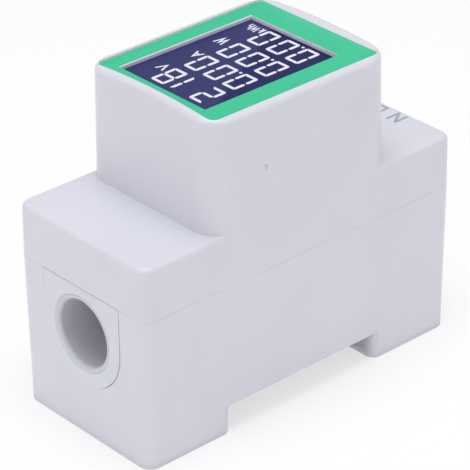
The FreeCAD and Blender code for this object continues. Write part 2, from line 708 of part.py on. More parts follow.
def make_top_cover(block, core, recess):
    """Upper half of the case: steps, display block, label recess, window and terminal opening."""
    body = new_body("top_cover")
    outside = new_sketch(body, "top", SEAM_HIGH)
    add_rectangle(outside, "-case_width / 2", "case_width / 2", f"-{HALF_LENGTH}", HALF_LENGTH)
    extrude(body, "Pad", outside, f"step_height - ({SEAM_HIGH})")
    draft_sides(body, "case_draft", True)
    draft_sides(body, "case_draft", False)
    round_edges(body, "case_corner", is_upright, "corners")
    round_edges(body, "top_rounding", lambda edge: is_level_at(edge, SIZES["step_height"]), "steps")
    combine(body, "Fuse", block)

    cavity = new_sketch(body, "top", SEAM_HIGH)
    add_rectangle(cavity, f"-({INNER_HALF_WIDTH})", INNER_HALF_WIDTH,
                  f"-({INNER_HALF_LENGTH})", INNER_HALF_LENGTH)
    extrude(body, "Pocket", cavity, f"step_height - roof - ({SEAM_HIGH})", reverse=True,
            taper="-case_draft")
    inner = SIZES["case_width"] / 2 - SIZES["wall"] / 2
    round_edges(body, "case_corner - wall",
                lambda edge: (is_upright(edge) and edge.BoundBox.ZMax < SIZES["step_height"] - 1
                              and abs(edge.BoundBox.Center.x) < inner), "inner_corners")
    combine(body, "Cut", core)

    inset = "(wall - lap_thickness - fit_gap)"
    relief = new_sketch(body, "top", SEAM_HIGH)
    add_rectangle(relief, f"-case_width / 2 + {inset}", f"case_width / 2 - {inset}",
                  f"-{HALF_LENGTH} + {inset}", f"{HALF_LENGTH} - {inset}")
    extrude(body, "Pocket", relief, "lap_height + fit_gap", reverse=True)

    combine(body, "Cut", recess)

    seat = new_sketch(body, "top", f"{ROOF_UNDERSIDE} - 1")
    add_rectangle(seat, f"{GLASS_LEFT} - fit_gap", f"{GLASS_RIGHT} + fit_gap",
                  f"{GLASS_NEAR} - fit_gap", f"{GLASS_FAR} + fit_gap")
    extrude(body, "Pocket", seat, f"{GLASS_TOP} - ({ROOF_UNDERSIDE}) + 1", reverse=True)
    window = new_sketch(body, "top", GLASS_TOP + " - 1")
    add_rectangle(window, "window_shift_across - window_width / 2",
                  "window_shift_across + window_width / 2",
                  "window_shift_along - window_length / 2", "window_shift_along + window_length / 2")
    extrude(body, "Pocket", window, "display_depth + 2", reverse=True)

    opening = new_sketch(body, "front", f"-({INNER_HALF_LENGTH}) + wall / 2")
    add_rectangle(opening, "terminal_shift - terminal_width / 2 + terminal_frame - fit_gap",
                  "terminal_shift + terminal_width / 2 - terminal_frame + fit_gap",
                  f"{MAIN_BOARD_TOP} + nose_step - fit_gap", "terminal_top - terminal_frame + fit_gap")
    extrude(body, "Pocket", opening, "2 * wall")

    # Ribs over the display board, with a catch under each
    ribs = new_sketch(body, "top", f"{DISPLAY_BOARD_TOP}")
    rib_edge = "display_board_width / 2 - catch_reach + fit_gap"
    for place in ("-rib_place", "rib_place"):
        low, high = f"{place} - rib_width / 2", f"{place} + rib_width / 2"
        add_rectangle(ribs, f"-({INNER_HALF_WIDTH})", f"-({rib_edge})", low, high)
        add_rectangle(ribs, rib_edge, INNER_HALF_WIDTH, low, high)
    extrude(body, "Pad", ribs, f"{ROOF_UNDERSIDE} - ({DISPLAY_BOARD_TOP}) + roof / 4")
    catch_top = f"{DISPLAY_BOARD_TOP} - board_thickness - fit_gap / 2"
    catch_edge = "display_board_width / 2 - catch_reach / 2"
    for place in ("-rib_place", "rib_place"):
        catches = new_sketch(body, "front", f"-({place}) - rib_width / 2")
        for sign in ("-", ""):
            add_outline(catches, [(f"{sign}({INNER_HALF_WIDTH})", catch_top),
                                  (f"{sign}({catch_edge})", catch_top),
                                  (f"{sign}({INNER_HALF_WIDTH})", f"{catch_top} - 2 * catch_height")])
        extrude(body, "Pad", catches, "rib_width")

    # Posts that hold the main board down on its ledges
    posts = new_sketch(body, "top", f"{MAIN_BOARD_TOP} + fit_gap")
    post_edge = "main_board_width / 2 - ledge_depth / 2"
    post_wall = f"{INNER_HALF_WIDTH} - fit_gap"
    for low, high in LEDGE_SPANS:
        add_rectangle(posts, f"-({post_wall})", f"-({post_edge})", low, high)
        add_rectangle(posts, post_edge, post_wall, low, high)
    extrude(body, "Pad", posts, f"step_height - roof / 2 - ({MAIN_BOARD_TOP})")
    webs = new_sketch(body, "top", f"{SEAM_HIGH} + lap_height + 4 * fit_gap")
    for low, high in LEDGE_SPANS:
        add_rectangle(webs, f"-({post_wall} + wall / 2)", f"-({post_wall} - wall / 2)", low, high)
        add_rectangle(webs, f"{post_wall} - wall / 2", f"{post_wall} + wall / 2", low, high)
    extrude(body, "Pad", webs, f"step_height - roof / 2 - ({MAIN_BOARD_TOP}) - lap_height")

    # Snap tongues that reach down into the base
    tip = f"{SEAM_HIGH} - snap_drop"
    face = f"{INNER_HALF_WIDTH} - fit_gap"
    back = f"{INNER_HALF_WIDTH} - fit_gap - snap_thickness"
    root = f"{SEAM_HIGH} + lap_height + 2 * fit_gap"
    for place in ("-snap_place", "snap_place"):
        tongues = new_sketch(body, "front", f"-({place}) - snap_width / 2")
        for sign in ("-", ""):
            add_outline(tongues, [(f"{sign}({back})", tip), (f"{sign}({face})", tip),
                                  (f"{sign}({face} + barb_reach)", f"{tip} + 2 * barb_reach"),
                                  (f"{sign}({face})", f"{tip} + 4 * barb_reach"),
                                  (f"{sign}({face})", root),
                                  (f"{sign}({face} + wall / 4)", root),
                                  (f"{sign}({face} + wall / 4)", f"{root} + snap_drop"),
                                  (f"{sign}({back})", f"{root} + snap_drop")])
        extrude(body, "Pad", tongues, "snap_width")
    return body


def make_slab(label, left, right, near, far, low, height, corner=""):
    """Flat rectangular piece, with rounded corners where a corner size is given."""
    body = new_body(label)
    sketch = new_sketch(body, "top", low)
    add_rectangle(sketch, left, right, near, far)
    extrude(body, "Pad", sketch, height)
    if corner:
        round_edges(body, corner, is_upright, "corners")
    return body


def make_faceplate():
    """Label plate with the display window."""
    body = make_slab("faceplate", "-label_width / 2", "label_width / 2", "-label_length / 2",
                     "label_length / 2", "face_height - label_thickness", "label_thickness")
    corners = value_of("label_length") / 2
    round_edges(body, "label_corner",
                lambda edge: (edge.BoundBox.ZLength > 0.1
                              and abs(abs(edge.BoundBox.Center.y) - corners) < 0.1), "corners")
    window = new_sketch(body, "top", "face_height")
    add_rectangle(window, "window_shift_across - window_width / 2",
                  "window_shift_across + window_width / 2",
                  "window_shift_along - window_length / 2", "window_shift_along + window_length / 2")
    extrude(body, "Pocket", window, "2 * label_thickness")
    return body


def make_lcd_glass():
    """Two glass sheets, the rear one longer so that its contacts lie bare."""
    body = make_slab("lcd_glass", GLASS_LEFT, GLASS_RIGHT, GLASS_NEAR, GLASS_FAR,
                     f"{GLASS_TOP} - glass_thickness", "glass_thickness")
    rear = new_sketch(body, "top", f"{GLASS_TOP} - glass_thickness")
    add_rectangle(rear, GLASS_LEFT, GLASS_RIGHT, GLASS_NEAR, f"{GLASS_FAR} + contact_ledge")
    extrude(body, "Pad", rear, "glass_thickness", reverse=True)
    return body


def make_lcd_pins():
    """Row of clips that grip the glass ledge and stand on the display board."""
    body = new_body("lcd_pins")
    edge = f"{GLASS_FAR} + contact_ledge"
    first = "window_shift_across - (glass_pins - 1) / 2 * glass_pin_pitch - glass_pin_width / 2"
    clip = new_sketch(body, "side", first)
    thin = "glass_pin_thickness"
    rear_top = f"{GLASS_BACK} + glass_thickness"
    add_outline(clip, [(f"{edge} - 1.4", rear_top), (edge, rear_top), (edge, GLASS_BACK),
                       (f"{edge} - 0.8", GLASS_BACK), (f"{edge} - 0.8", f"{GLASS_BACK} - {thin}"),
                       (edge, f"{GLASS_BACK} - {thin}"), (edge, f"{DISPLAY_BOARD_TOP} + {thin}"),
                       (f"{edge} - 1.1", f"{DISPLAY_BOARD_TOP} + {thin}"),
                       (f"{edge} - 1.1", DISPLAY_BOARD_TOP),
                       (f"{edge} + {thin}", DISPLAY_BOARD_TOP),
                       (f"{edge} + {thin}", f"{rear_top} + {thin}"),
                       (f"{edge} - 1.4", f"{rear_top} + {thin}")])
    pin = extrude(body, "Pad", clip, "glass_pin_width")
    repeat_feature(body, pin, (clip, ["N_Axis"]), "glass_pin_pitch", "glass_pins")
    return body


def repeat_feature(body, original, direction, spacing, count):
    """Repeat one feature in a row."""
    pattern = body.newObject("PartDesign::LinearPattern", body.Name + "_row")
    pattern.Originals = [original]
    pattern.Direction = direction
    pattern.Mode = "Spacing"
    pattern.setExpression("Offset", formula(spacing))
    pattern.setExpression("Occurrences", formula(count))
    body.Tip = pattern
    return pattern


def link_pin_places():
    """Middle of each link pin along the meter."""
    count = int(SIZES["link_pins"])
    return [f"({k} - (link_pins - 1) / 2) * link_pitch + link_shift" for k in range(count)]


def board_pin_places():
    """Place and hole radius of every pin that goes through the main board."""
    round_hole = "wire_lead / 2 + hole_slack"
    places = [("link_place", along, "link_width * 0.71 + hole_slack") for along in link_pin_places()]
    for pole in (POLE_N, POLE_L):
        for along in solder_pin_places():
            places.append((pole, along, "solder_pin * 0.71 + hole_slack"))
    for side in ("-", ""):
        places.append((f"{side}lead_spread / 2", CT_LEAD_END, "lead_radius + hole_slack"))
        places.append(("dropper_across", f"dropper_along {side or '+'} dropper_pitch / 2", round_hole))
        places.append((f"filter_across {side or '+'} filter_pitch / 2", "filter_along", round_hole))
        places.append((f"varistor_across {side or '+'} varistor_pitch / 2", "varistor_along", round_hole))
        places.append(("fuse_across", f"fuse_along {side or '+'} fuse_pitch / 2", round_hole))
    return places


def make_main_board():
    """Circuit board at the parting line, with a hole for every pin."""
    body = make_slab("main_board", "-main_board_width / 2", "main_board_width / 2",
                     "-main_board_near", "main_board_far", "main_board_height", "board_thickness")
    holes = new_sketch(body, "top", MAIN_BOARD_TOP)
    for across, along, radius in board_pin_places():
        add_hexagon(holes, across, along, radius)
    extrude(body, "Pocket", holes, "2 * board_thickness")
    return body


def make_display_board():
    """Circuit board that carries the display, with holes for the link pins."""
    body = make_slab("display_board", "-display_board_width / 2", "display_board_width / 2",
                     "-display_board_length / 2", "display_board_length / 2",
                     f"{DISPLAY_BOARD_TOP} - board_thickness", "board_thickness",
                     "display_board_corner")
    holes = new_sketch(body, "top", DISPLAY_BOARD_TOP)
    for along in link_pin_places():
        add_hexagon(holes, "link_place", along, "link_width * 0.71 + hole_slack")
    extrude(body, "Pocket", holes, "2 * board_thickness")
    return body


def make_link_pins():
    """Square pins between the two boards."""
    body = new_body("link_pins")
    sketch = new_sketch(body, "top", "main_board_height - link_stub")
    add_square(sketch, "link_place", f"({link_pin_places()[0]})", "link_width")
    pin = extrude(body, "Pad", sketch,
                  f"{DISPLAY_BOARD_TOP} - main_board_height + 2 * link_stub")
    repeat_feature(body, pin, (sketch, ["V_Axis"]), "link_pitch", "link_pins")
    return body


def make_link_strips():
    """Plastic strip round the link pins at each board."""
    body = new_body("link_strips")
    half_length = "link_pins * link_pitch / 2"
    for low in (MAIN_BOARD_TOP, f"{DISPLAY_BOARD_TOP} - board_thickness - link_pitch"):
        strip = new_sketch(body, "top", low)
        add_rectangle(strip, "link_place - link_pitch / 2", "link_place + link_pitch / 2",
                      f"link_shift - {half_length}", f"link_shift + {half_length}")
        for along in link_pin_places():
            add_square(strip, "link_place", f"({along})", "(link_width + slide_gap)")
        extrude(body, "Pad", strip, "link_pitch")
    return body


def solder_pin_places():
    """Middle of the two solder pins of a contact along the meter."""
    return (f"{CONTACT_BACK} + 1.1", f"{CONTACT_BACK} + 1.1 + solder_pitch")


def make_terminal_body():
    """Two-pole terminal: cavities open to the rear, wire entries and button slots in front."""
    body = new_body("terminal_body")
    block = new_sketch(body, "top", MAIN_BOARD_TOP)
    add_rectangle(block, "terminal_shift - terminal_width / 2", "terminal_shift + terminal_width / 2",
                  TERMINAL_BACK, TERMINAL_FRONT)
    extrude(body, "Pad", block, f"terminal_top - ({MAIN_BOARD_TOP})")
    nose = new_sketch(body, "front", f"-({TERMINAL_FRONT}) + slide_gap")
    add_rectangle(nose, "terminal_shift - terminal_width / 2 + terminal_frame",
                  "terminal_shift + terminal_width / 2 - terminal_frame",
                  f"{MAIN_BOARD_TOP} + nose_step", "terminal_top - terminal_frame")
    extrude(body, "Pad", nose, "nose_length + slide_gap", reverse=True)

    cavities = new_sketch(body, "front", f"-({TERMINAL_BACK}) + 1")
    for pole in (POLE_N, POLE_L):
        add_rectangle(cavities, f"{pole} - cavity_width / 2", f"{pole} + cavity_width / 2",
                      CAVITY_FLOOR, "terminal_top - terminal_floor")
    extrude(body, "Pocket", cavities, f"{CAVITY_FRONT} - ({TERMINAL_BACK}) + 1")

    front = new_sketch(body, "front", f"-({CAVITY_FRONT}) + 1")
    level = f"{MAIN_BOARD_TOP} + button_level"
    for pole in (POLE_N, POLE_L):
        add_circle(front, pole, f"{MAIN_BOARD_TOP} + entry_height", "entry_radius")
        add_rectangle(front, f"{pole} - button_width / 2 - slide_gap",
                      f"{pole} + button_width / 2 + slide_gap",
                      f"{level} - button_height / 2 - slide_gap",
                      f"{level} + button_height / 2 + slide_gap")
    extrude(body, "Pocket", front, "front_wall + 2")
    face = value_of(NOSE_FRONT)
    bevel_edges(body, "funnel_depth",
                lambda edge: (edge.BoundBox.YLength < 0.05 and abs(edge.BoundBox.Center.y - face) < 0.05
                              and type(edge.Curve).__name__ == "Circle"))

    pins = new_sketch(body, "top", CAVITY_FLOOR)
    for pole in (POLE_N, POLE_L):
        for along in solder_pin_places():
            add_square(pins, pole, f"({along})", "(solder_pin + slide_gap)")
    extrude(body, "Pocket", pins, "2 * terminal_floor")
    return body


def make_terminal_button(label, pole):
    """Release button with a collar behind the terminal's front wall."""
    body = new_body(label)
    level = f"{MAIN_BOARD_TOP} + button_level"
    stem = new_sketch(body, "front", f"-({NOSE_FRONT} + button_proud)")
    add_rectangle(stem, f"{pole} - button_width / 2", f"{pole} + button_width / 2",
                  f"{level} - button_height / 2", f"{level} + button_height / 2")
    extrude(body, "Pad", stem, "button_length")
    collar = new_sketch(body, "front", f"-({CAVITY_FRONT} - slide_gap)")
    add_rectangle(collar, f"{pole} - button_width / 2 - collar_rim",
                  f"{pole} + button_width / 2 + collar_rim",
                  f"{level} - button_height / 2 - collar_rim",
                  f"{level} + button_height / 2 + collar_rim")
    extrude(body, "Pad", collar, "collar_length")
    return body


def make_contact(label, pole):
    """Tinned rail: floor strip under the wire, an upright behind and two solder pins."""
    body = new_body(label)
    profile = new_sketch(body, "side", f"{pole} - contact_width / 2")
    add_outline(profile, [(CONTACT_BACK, CAVITY_FLOOR),
                          (f"{CONTACT_BACK} + contact_length", CAVITY_FLOOR),
                          (f"{CONTACT_BACK} + contact_length", f"{CAVITY_FLOOR} + contact_thickness"),
                          (f"{CONTACT_BACK} + contact_thickness", f"{CAVITY_FLOOR} + contact_thickness"),
                          (f"{CONTACT_BACK} + contact_thickness", f"{CAVITY_FLOOR} + contact_height"),
                          (CONTACT_BACK, f"{CAVITY_FLOOR} + contact_height")])
    extrude(body, "Pad", profile, "contact_width")
    pins = new_sketch(body, "top", f"{CAVITY_FLOOR} + contact_thickness / 2")
    for along in solder_pin_places():
        add_square(pins, pole, f"({along})", "solder_pin")
    extrude(body, "Pad", pins,
            f"{CAVITY_FLOOR} + contact_thickness / 2 - main_board_height + lead_stub", reverse=True)
    return body


def make_clamp_spring(label, pole):
    """Leaf spring: rear leg on the contact's upright, top run, and a leg down to the wire."""
    body = new_body(label)
    rear = f"{CONTACT_BACK} + contact_thickness"
    foot = f"{CAVITY_FLOOR} + contact_thickness"
    top = f"terminal_top - terminal_floor - leaf_top"
    reach = f"{rear} + leaf_run"
    profile = new_sketch(body, "side", f"{pole} - leaf_width / 2")
    add_outline(profile, [(rear, f"{foot} + leaf_thickness"), (rear, top), (reach, top),
                          (f"{reach} - leaf_lean", f"{foot} + slide_gap"),
                          (f"{reach} - leaf_lean - leaf_thickness * 1.1", f"{foot} + slide_gap"),
                          (f"{reach} - leaf_thickness * 1.4", f"{top} - leaf_thickness"),
                          (f"{rear} + leaf_thickness", f"{top} - leaf_thickness"),
                          (f"{rear} + leaf_thickness", f"{foot} + leaf_thickness")])
    extrude(body, "Pad", profile, "leaf_width")
    outer_top = value_of(top)
    round_edges(body, "leaf_bend",
                lambda edge: edge.BoundBox.XLength > 1 and abs(edge.BoundBox.Center.z - outer_top) < 0.02,
                "bends")
    return body


def is_mouth(edge, place, radius):
    """Whether an edge is the bore's full circle at a place along the meter."""
    box = edge.BoundBox
    return (abs(box.Center.y - place) < 0.05 and box.YLength < 0.05
            and abs(box.ZLength - 2 * radius) < 0.05)


def make_cable_tube():
    """Tube for the measured cable, in one piece with the plate of the far end wall."""
    body = new_body("cable_tube")
    tube = new_sketch(body, "front", TUBE_END)
    add_circle(tube, "0", "tube_height", TUBE_OUTER)
    extrude(body, "Pad", tube, f"2 * ({TUBE_END})", reverse=True)
    plate = new_sketch(body, "front", f"-({TUBE_END})")
    add_arch(plate, "plate_radius", "tube_height", PLATE_TOP)
    extrude(body, "Pad", plate, f"{TUBE_END} - ({FLANGE_OUTER}) + flange_thickness / 2")
    flange = new_sketch(body, "front", f"-({FLANGE_OUTER})")
    add_arch(flange, "plate_radius + flange_rim", "tube_height", SEAM_LOW)
    extrude(body, "Pad", flange, "flange_thickness")
    bore = new_sketch(body, "front", f"{TUBE_END} + 1")
    add_circle(bore, "0", "tube_height", "bore_radius")
    extrude(body, "Pocket", bore, f"2 * ({TUBE_END}) + 2")
    end = value_of(TUBE_END)
    radius = value_of("bore_radius")
    round_edges(body, "0.8 * tube_wall", lambda edge: is_mouth(edge, -end, radius), "near_mouth")
    bevel_edges(body, "0.5 * tube_wall", lambda edge: is_mouth(edge, end, radius))
    return body


def make_end_plate():
    """Plate of the near end wall, slid into its slot, with a hole for the tube."""
    body = new_body("end_plate")
    plate = new_sketch(body, "front", TUBE_END)
    add_arch(plate, "plate_radius", "tube_height", PLATE_TOP)
    extrude(body, "Pad", plate, f"{TUBE_END} - ({FLANGE_OUTER}) + flange_thickness / 2", reverse=True)
    flange = new_sketch(body, "front", FLANGE_OUTER)
    add_arch(flange, "plate_radius + flange_rim", "tube_height", SEAM_LOW)
    extrude(body, "Pad", flange, "flange_thickness", reverse=True)
    hole = new_sketch(body, "front", f"{TUBE_END} + 1")
    add_circle(hole, "0", "tube_height", f"{TUBE_OUTER} + slide_gap")
    extrude(body, "Pocket", hole, "4 * wall + 1")
    return body


def make_ring(label, inner, outer, length):
    """Ring round the cable tube at the transformer's place."""
    body = new_body(label)
    sketch = new_sketch(body, "front", f"ring_place + {length} / 2")
    add_circle(sketch, "0", "tube_height", outer)
    add_circle(sketch, "0", "tube_height", inner)
    extrude(body, "Pad", sketch, length, reverse=True)
    return body


def make_ct_winding():
    """Taped winding that closes round the core."""
    length = "(core_length + 2 * tape_thickness)"
    body = make_ring("ct_winding", f"{TUBE_OUTER} + ring_slack", "core_outer + tape_thickness", length)
    half_length = value_of(length) / 2
    place = value_of("-ring_place")
    outer = value_of("core_outer")
    bevel_edges(body, "tape_thickness * 0.7",
                lambda edge: (abs(abs(edge.BoundBox.Center.y - place) - half_length) < 0.05
                              and edge.BoundBox.ZLength > 2 * outer))
    room = make_ring("ct_core_room", "core_inner", "core_outer", "core_length")
    combine(body, "Cut", room)
    return body


def make_ct_leads():
    """Two wires from the winding's face down into the main board."""
    body = new_body("ct_leads")
    start = "-ring_place + core_length / 2 + tape_thickness"
    for side in ("-", ""):
        add_wire(body, "lead_radius", f"{side}lead_spread / 2",
                 (start, "tube_height + lead_height"),
                 (CT_LEAD_END, "main_board_height - lead_stub"), "lead_bend")
    return body


def make_rail_latch():
    """Sliding foot: nose under the rail flange, spring pocket and screwdriver slot."""
    body = new_body("rail_latch")
    near = "(notch_length / 2 + latch_stop + fit_gap)"
    for half_width, low, high in (("latch_width / 2", "latch_lift", "latch_ledge + 2 * fit_gap"),
                                  ("latch_wings / 2", "latch_ledge + slide_gap", "latch_top")):
        outline = new_sketch(body, "top", low)
        add_rectangle(outline, f"-{half_width}", half_width, near, FOOT_END)
        extrude(body, "Pad", outline, f"{high} - ({low})")
    tip = "notch_length / 2 - latch_grip"
    nose = new_sketch(body, "side")
    add_outline(nose, [(tip, "latch_lift + latch_grip"), (f"{tip} + latch_grip", "latch_lift"),
                       (f"{near} + 1", "latch_lift"), (f"{near} + 1", "nose_height"),
                       (tip, "nose_height")])
    extrude(body, "Pad", nose, "nose_width", both=True)

    pocket = new_sketch(body, "top", "latch_top - spring_outer - 2 * fit_gap")
    add_rectangle(pocket, "-spring_outer / 2 - 2 * fit_gap", "spring_outer / 2 + 2 * fit_gap",
                  "spring_place - fit_gap", "spring_place + spring_length + anchor_thickness + 2 * fit_gap")
    extrude(body, "Pocket", pocket, "2 * spring_outer", reverse=True)
    slot = new_sketch(body, "top", "latch_lift")
    add_rectangle(slot, "-slot_width / 2", "slot_width / 2", f"{FOOT_END} - 1.5 * slot_length",
                  f"{FOOT_END} - slot_length / 2")
    extrude(body, "Pocket", slot, "latch_top / 2", reverse=True)
    return body


def make_latch_spring():
    """Coil spring that pushes the latch towards the rail."""
    body = new_body("latch_spring")
    wire = new_sketch(body, "top", SPRING_LEVEL)
    add_square(wire, "(spring_outer - spring_wire) / 2", "spring_place + spring_wire / 2", "spring_wire")
    coil = body.newObject("PartDesign::AdditiveHelix", "latch_spring_coil")
    coil.Profile = wire
    coil.ReferenceAxis = (wire, ["V_Axis"])
    coil.Mode = "height-turns-angle"
    coil.setExpression("Height", formula("spring_length - spring_wire"))
    coil.setExpression("Turns", formula("spring_turns"))
    return body


def make_dropper_capacitor():
    """Box film capacitor that drops the mains voltage."""
    body = make_slab("dropper_capacitor", "dropper_across - dropper_width / 2",
                     "dropper_across + dropper_width / 2", "dropper_along - dropper_length / 2",
                     "dropper_along + dropper_length / 2", MAIN_BOARD_TOP, "dropper_height")
    round_edges(body, "wire_lead / 2", is_upright, "corners")
    add_pins(body, [("dropper_across", "dropper_along - dropper_pitch / 2"),
                    ("dropper_across", "dropper_along + dropper_pitch / 2")])
    return body


def add_pins(body, places, top=MAIN_BOARD_TOP):
    """Add straight pins that go down through the main board."""
    pins = new_sketch(body, "top", top)
    for across, along in places:
        add_hexagon(pins, across, along, "wire_lead / 2")
    extrude(body, "Pad", pins, f"{top} - main_board_height + lead_stub", reverse=True)


def make_filter_capacitor():
    """Upright electrolytic can."""
    body = new_body("filter_capacitor")
    can = new_sketch(body, "top", MAIN_BOARD_TOP)
    add_circle(can, "filter_across", "filter_along", "filter_radius")
    extrude(body, "Pad", can, "filter_height")
    top = value_of(f"{MAIN_BOARD_TOP} + filter_height")
    bevel_edges(body, "wire_lead", lambda edge: is_level_at(edge, top))
    add_pins(body, [("filter_across - filter_pitch / 2", "filter_along"),
                    ("filter_across + filter_pitch / 2", "filter_along")])
    return body


def make_surge_varistor():
    """Disc varistor that stands on its two leads."""
    body = new_body("surge_varistor")
    disc = new_sketch(body, "front", "-varistor_along")
    middle = f"{MAIN_BOARD_TOP} + varistor_lift + varistor_radius"
    add_circle(disc, "varistor_across", middle, "varistor_radius")
    extrude(body, "Pad", disc, "varistor_thickness", both=True)
    bevel_edges(body, "varistor_rounding", lambda edge: edge.BoundBox.YLength < 0.05)
    add_pins(body, [("varistor_across - varistor_pitch / 2", "varistor_along"),
                    ("varistor_across + varistor_pitch / 2", "varistor_along")],
             f"{MAIN_BOARD_TOP} + varistor_lift + varistor_radius / 2")
    return body


def make_fuse_resistor():
    """Fusible resistor, lying along the meter, with bent leads."""
    body = new_body("fuse_resistor")
    level = f"{MAIN_BOARD_TOP} + fuse_lift + fuse_radius"
    rod = new_sketch(body, "front", "-fuse_along")
    add_circle(rod, "fuse_across", level, "fuse_radius")
    extrude(body, "Pad", rod, "fuse_length", both=True)
    bevel_edges(body, "wire_lead", lambda edge: edge.BoundBox.YLength < 0.05)
    for side in ("-", "+"):
        add_wire(body, "wire_lead / 2", "fuse_across",
                 (f"fuse_along {side} fuse_length / 2 {'+' if side == '-' else '-'} wire_lead", level),
                 (f"fuse_along {side} fuse_pitch / 2", "main_board_height - lead_stub"), "fuse_bend")
    return body


def make_chip(label, across, along, level, size, legs, hanging=False):
    """Chip with bent legs on both long sides, on top of a board or hanging under it.

    size holds the formulas of width, length, height and leg pitch; legs is the count per side.
    """
    width, length, height, pitch = size
    up = "-" if hanging else "+"
    body = new_body(label)
    wings = new_sketch(body, "front", f"-({along})")
    shoulder = f"{level} {up} {height} / 2"
    foot = f"{level} {up} leg_thickness"
    for side, inward in (("-", "+"), ("+", "-")):
        edge = f"{across} {side} {width} / 2"
        tip = f"{edge} {side} leg_reach"
        knee = f"{tip} {inward} foot_length"
        root = f"{edge} {inward} leg_reach / 2"
        bend = f"{knee} {inward} leg_thickness"
        add_outline(wings, [(root, shoulder), (bend, shoulder), (bend, level), (tip, level), (tip, foot),
                            (knee, foot), (knee, f"{shoulder} {up} leg_thickness"),
                            (root, f"{shoulder} {up} leg_thickness")])
    row = f"({legs} - 1) * {pitch} + leg_width"
    extrude(body, "Pad", wings, row, both=True)
    gaps = new_sketch(body, "top", f"{level} {up} {height}" if not hanging else level)
    for k in range(int(value_of(legs)) - 1):
        near = f"{along} - ({legs} - 1) / 2 * {pitch} + {k} * {pitch} + leg_width / 2"
        add_rectangle(gaps, f"{across} - {width}", f"{across} + {width}", near,
                      f"{near} + {pitch} - leg_width")
    extrude(body, "Pocket", gaps, f"{height} + 1")
    block = new_sketch(body, "top", f"{level} {up} chip_lift" if not hanging else f"{level} - {height}")
    add_rectangle(block, f"{across} - {width} / 2", f"{across} + {width} / 2",
                  f"{along} - {length} / 2", f"{along} + {length} / 2")
    extrude(body, "Pad", block, f"{height} - chip_lift")
    return body


def make_crystal():
    """Low metal can with round ends, lying under the display board."""
    height = "crystal_height"
    return make_slab("crystal", "crystal_across - crystal_width / 2", "crystal_across + crystal_width / 2",
                     "controller_along - crystal_length / 2", "controller_along + crystal_length / 2",
                     f"{DISPLAY_BOARD_TOP} - board_thickness - {height}", height,
                     "crystal_width / 2.1")


make_sheet()
base_housing = make_base_housing()
top_cover = make_top_cover(make_cover_block(), make_cover_core(), make_label_recess())
UNDER_DISPLAY_BOARD = f"{DISPLAY_BOARD_TOP} - board_thickness"
sub_parts = [
    base_housing,
    top_cover,
    make_faceplate(),
    make_lcd_glass(),
    make_slab("backlight", GLASS_LEFT, GLASS_RIGHT, GLASS_NEAR, GLASS_FAR, DISPLAY_BOARD_TOP,
              "backlight_thickness"),
    make_lcd_pins(),
    make_display_board(),
    make_main_board(),
    make_link_pins(),
    make_link_strips(),
    make_terminal_body(),
    make_terminal_button("terminal_button_n", POLE_N),
    make_terminal_button("terminal_button_l", POLE_L),
    make_contact("contact_n", POLE_N),
    make_contact("contact_l", POLE_L),
    make_clamp_spring("clamp_spring_n", POLE_N),
    make_clamp_spring("clamp_spring_l", POLE_L),
    make_cable_tube(),
    make_end_plate(),
    make_ring("ct_core", "core_inner", "core_outer", "core_length"),
    make_ct_winding(),
    make_ct_leads(),
    make_rail_latch(),
    make_latch_spring(),
    make_dropper_capacitor(),
    make_filter_capacitor(),
    make_surge_varistor(),
    make_fuse_resistor(),
    make_chip("bridge_rectifier", "bridge_across", "bridge_along", MAIN_BOARD_TOP,
              ("bridge_width", "bridge_length", "bridge_height", "bridge_pitch"), "2"),
    make_chip("metering_chip", "chip_across", "chip_along", MAIN_BOARD_TOP,
              ("chip_width", "chip_length", "chip_height", "chip_pitch"), "chip_legs"),
    make_chip("controller_chip", "0", "controller_along", UNDER_DISPLAY_BOARD,
              ("controller_width", "controller_length", "controller_height", "chip_pitch"),
              "controller_legs", hanging=True),
    make_crystal(),
]

doc.recompute()
for item in doc.Objects:
    if "Invalid" in item.State or "Error" in item.State:
        raise RuntimeError(f"{item.Name}: {item.getStatusString()}")
os.makedirs("parts", exist_ok=True)
for sub_part in sub_parts:
    if sub_part.Shape.isNull() or not sub_part.Shape.isValid():
        raise RuntimeError(f"{sub_part.Label}: the shape is missing or not valid")
    sub_part.Shape.exportStep(f"parts/{sub_part.Label}.step")
    print(sub_part.Label, len(sub_part.Shape.Solids), round(sub_part.Shape.Volume, 1))
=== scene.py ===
import logging
import math
from dataclasses import dataclass, replace
from enum import Enum
from typing import NamedTuple

import bpy
import numpy as np
from mathutils import Matrix, Vector


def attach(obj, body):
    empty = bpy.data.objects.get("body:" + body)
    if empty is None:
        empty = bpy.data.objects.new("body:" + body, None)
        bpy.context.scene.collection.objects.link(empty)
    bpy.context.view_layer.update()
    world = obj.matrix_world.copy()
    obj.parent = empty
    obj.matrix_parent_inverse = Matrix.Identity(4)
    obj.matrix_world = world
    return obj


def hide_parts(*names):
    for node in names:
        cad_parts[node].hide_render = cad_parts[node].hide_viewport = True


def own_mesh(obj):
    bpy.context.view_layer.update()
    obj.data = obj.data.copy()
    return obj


# Looks of a two-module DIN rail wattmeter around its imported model.
# X runs along the rail, Y from the open cable mouth to the terminals, Z up to the display.

Tree = bpy.types.NodeTree
Node = bpy.types.Node
Socket = bpy.types.NodeSocket
Source = Node | Socket
Material = bpy.types.Material
Object = bpy.types.Object
Shell = tuple[np.ndarray, list]
Flat = tuple[float, float]
Spot = tuple[float, float, float]

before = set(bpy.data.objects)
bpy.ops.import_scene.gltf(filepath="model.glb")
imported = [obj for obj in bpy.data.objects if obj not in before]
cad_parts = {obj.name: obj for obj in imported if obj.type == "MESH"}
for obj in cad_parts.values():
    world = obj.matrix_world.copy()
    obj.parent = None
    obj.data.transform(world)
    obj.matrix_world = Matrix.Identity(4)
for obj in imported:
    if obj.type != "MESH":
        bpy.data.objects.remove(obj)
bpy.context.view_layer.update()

MM = 0.001
PHOTO_WIDTH = 470
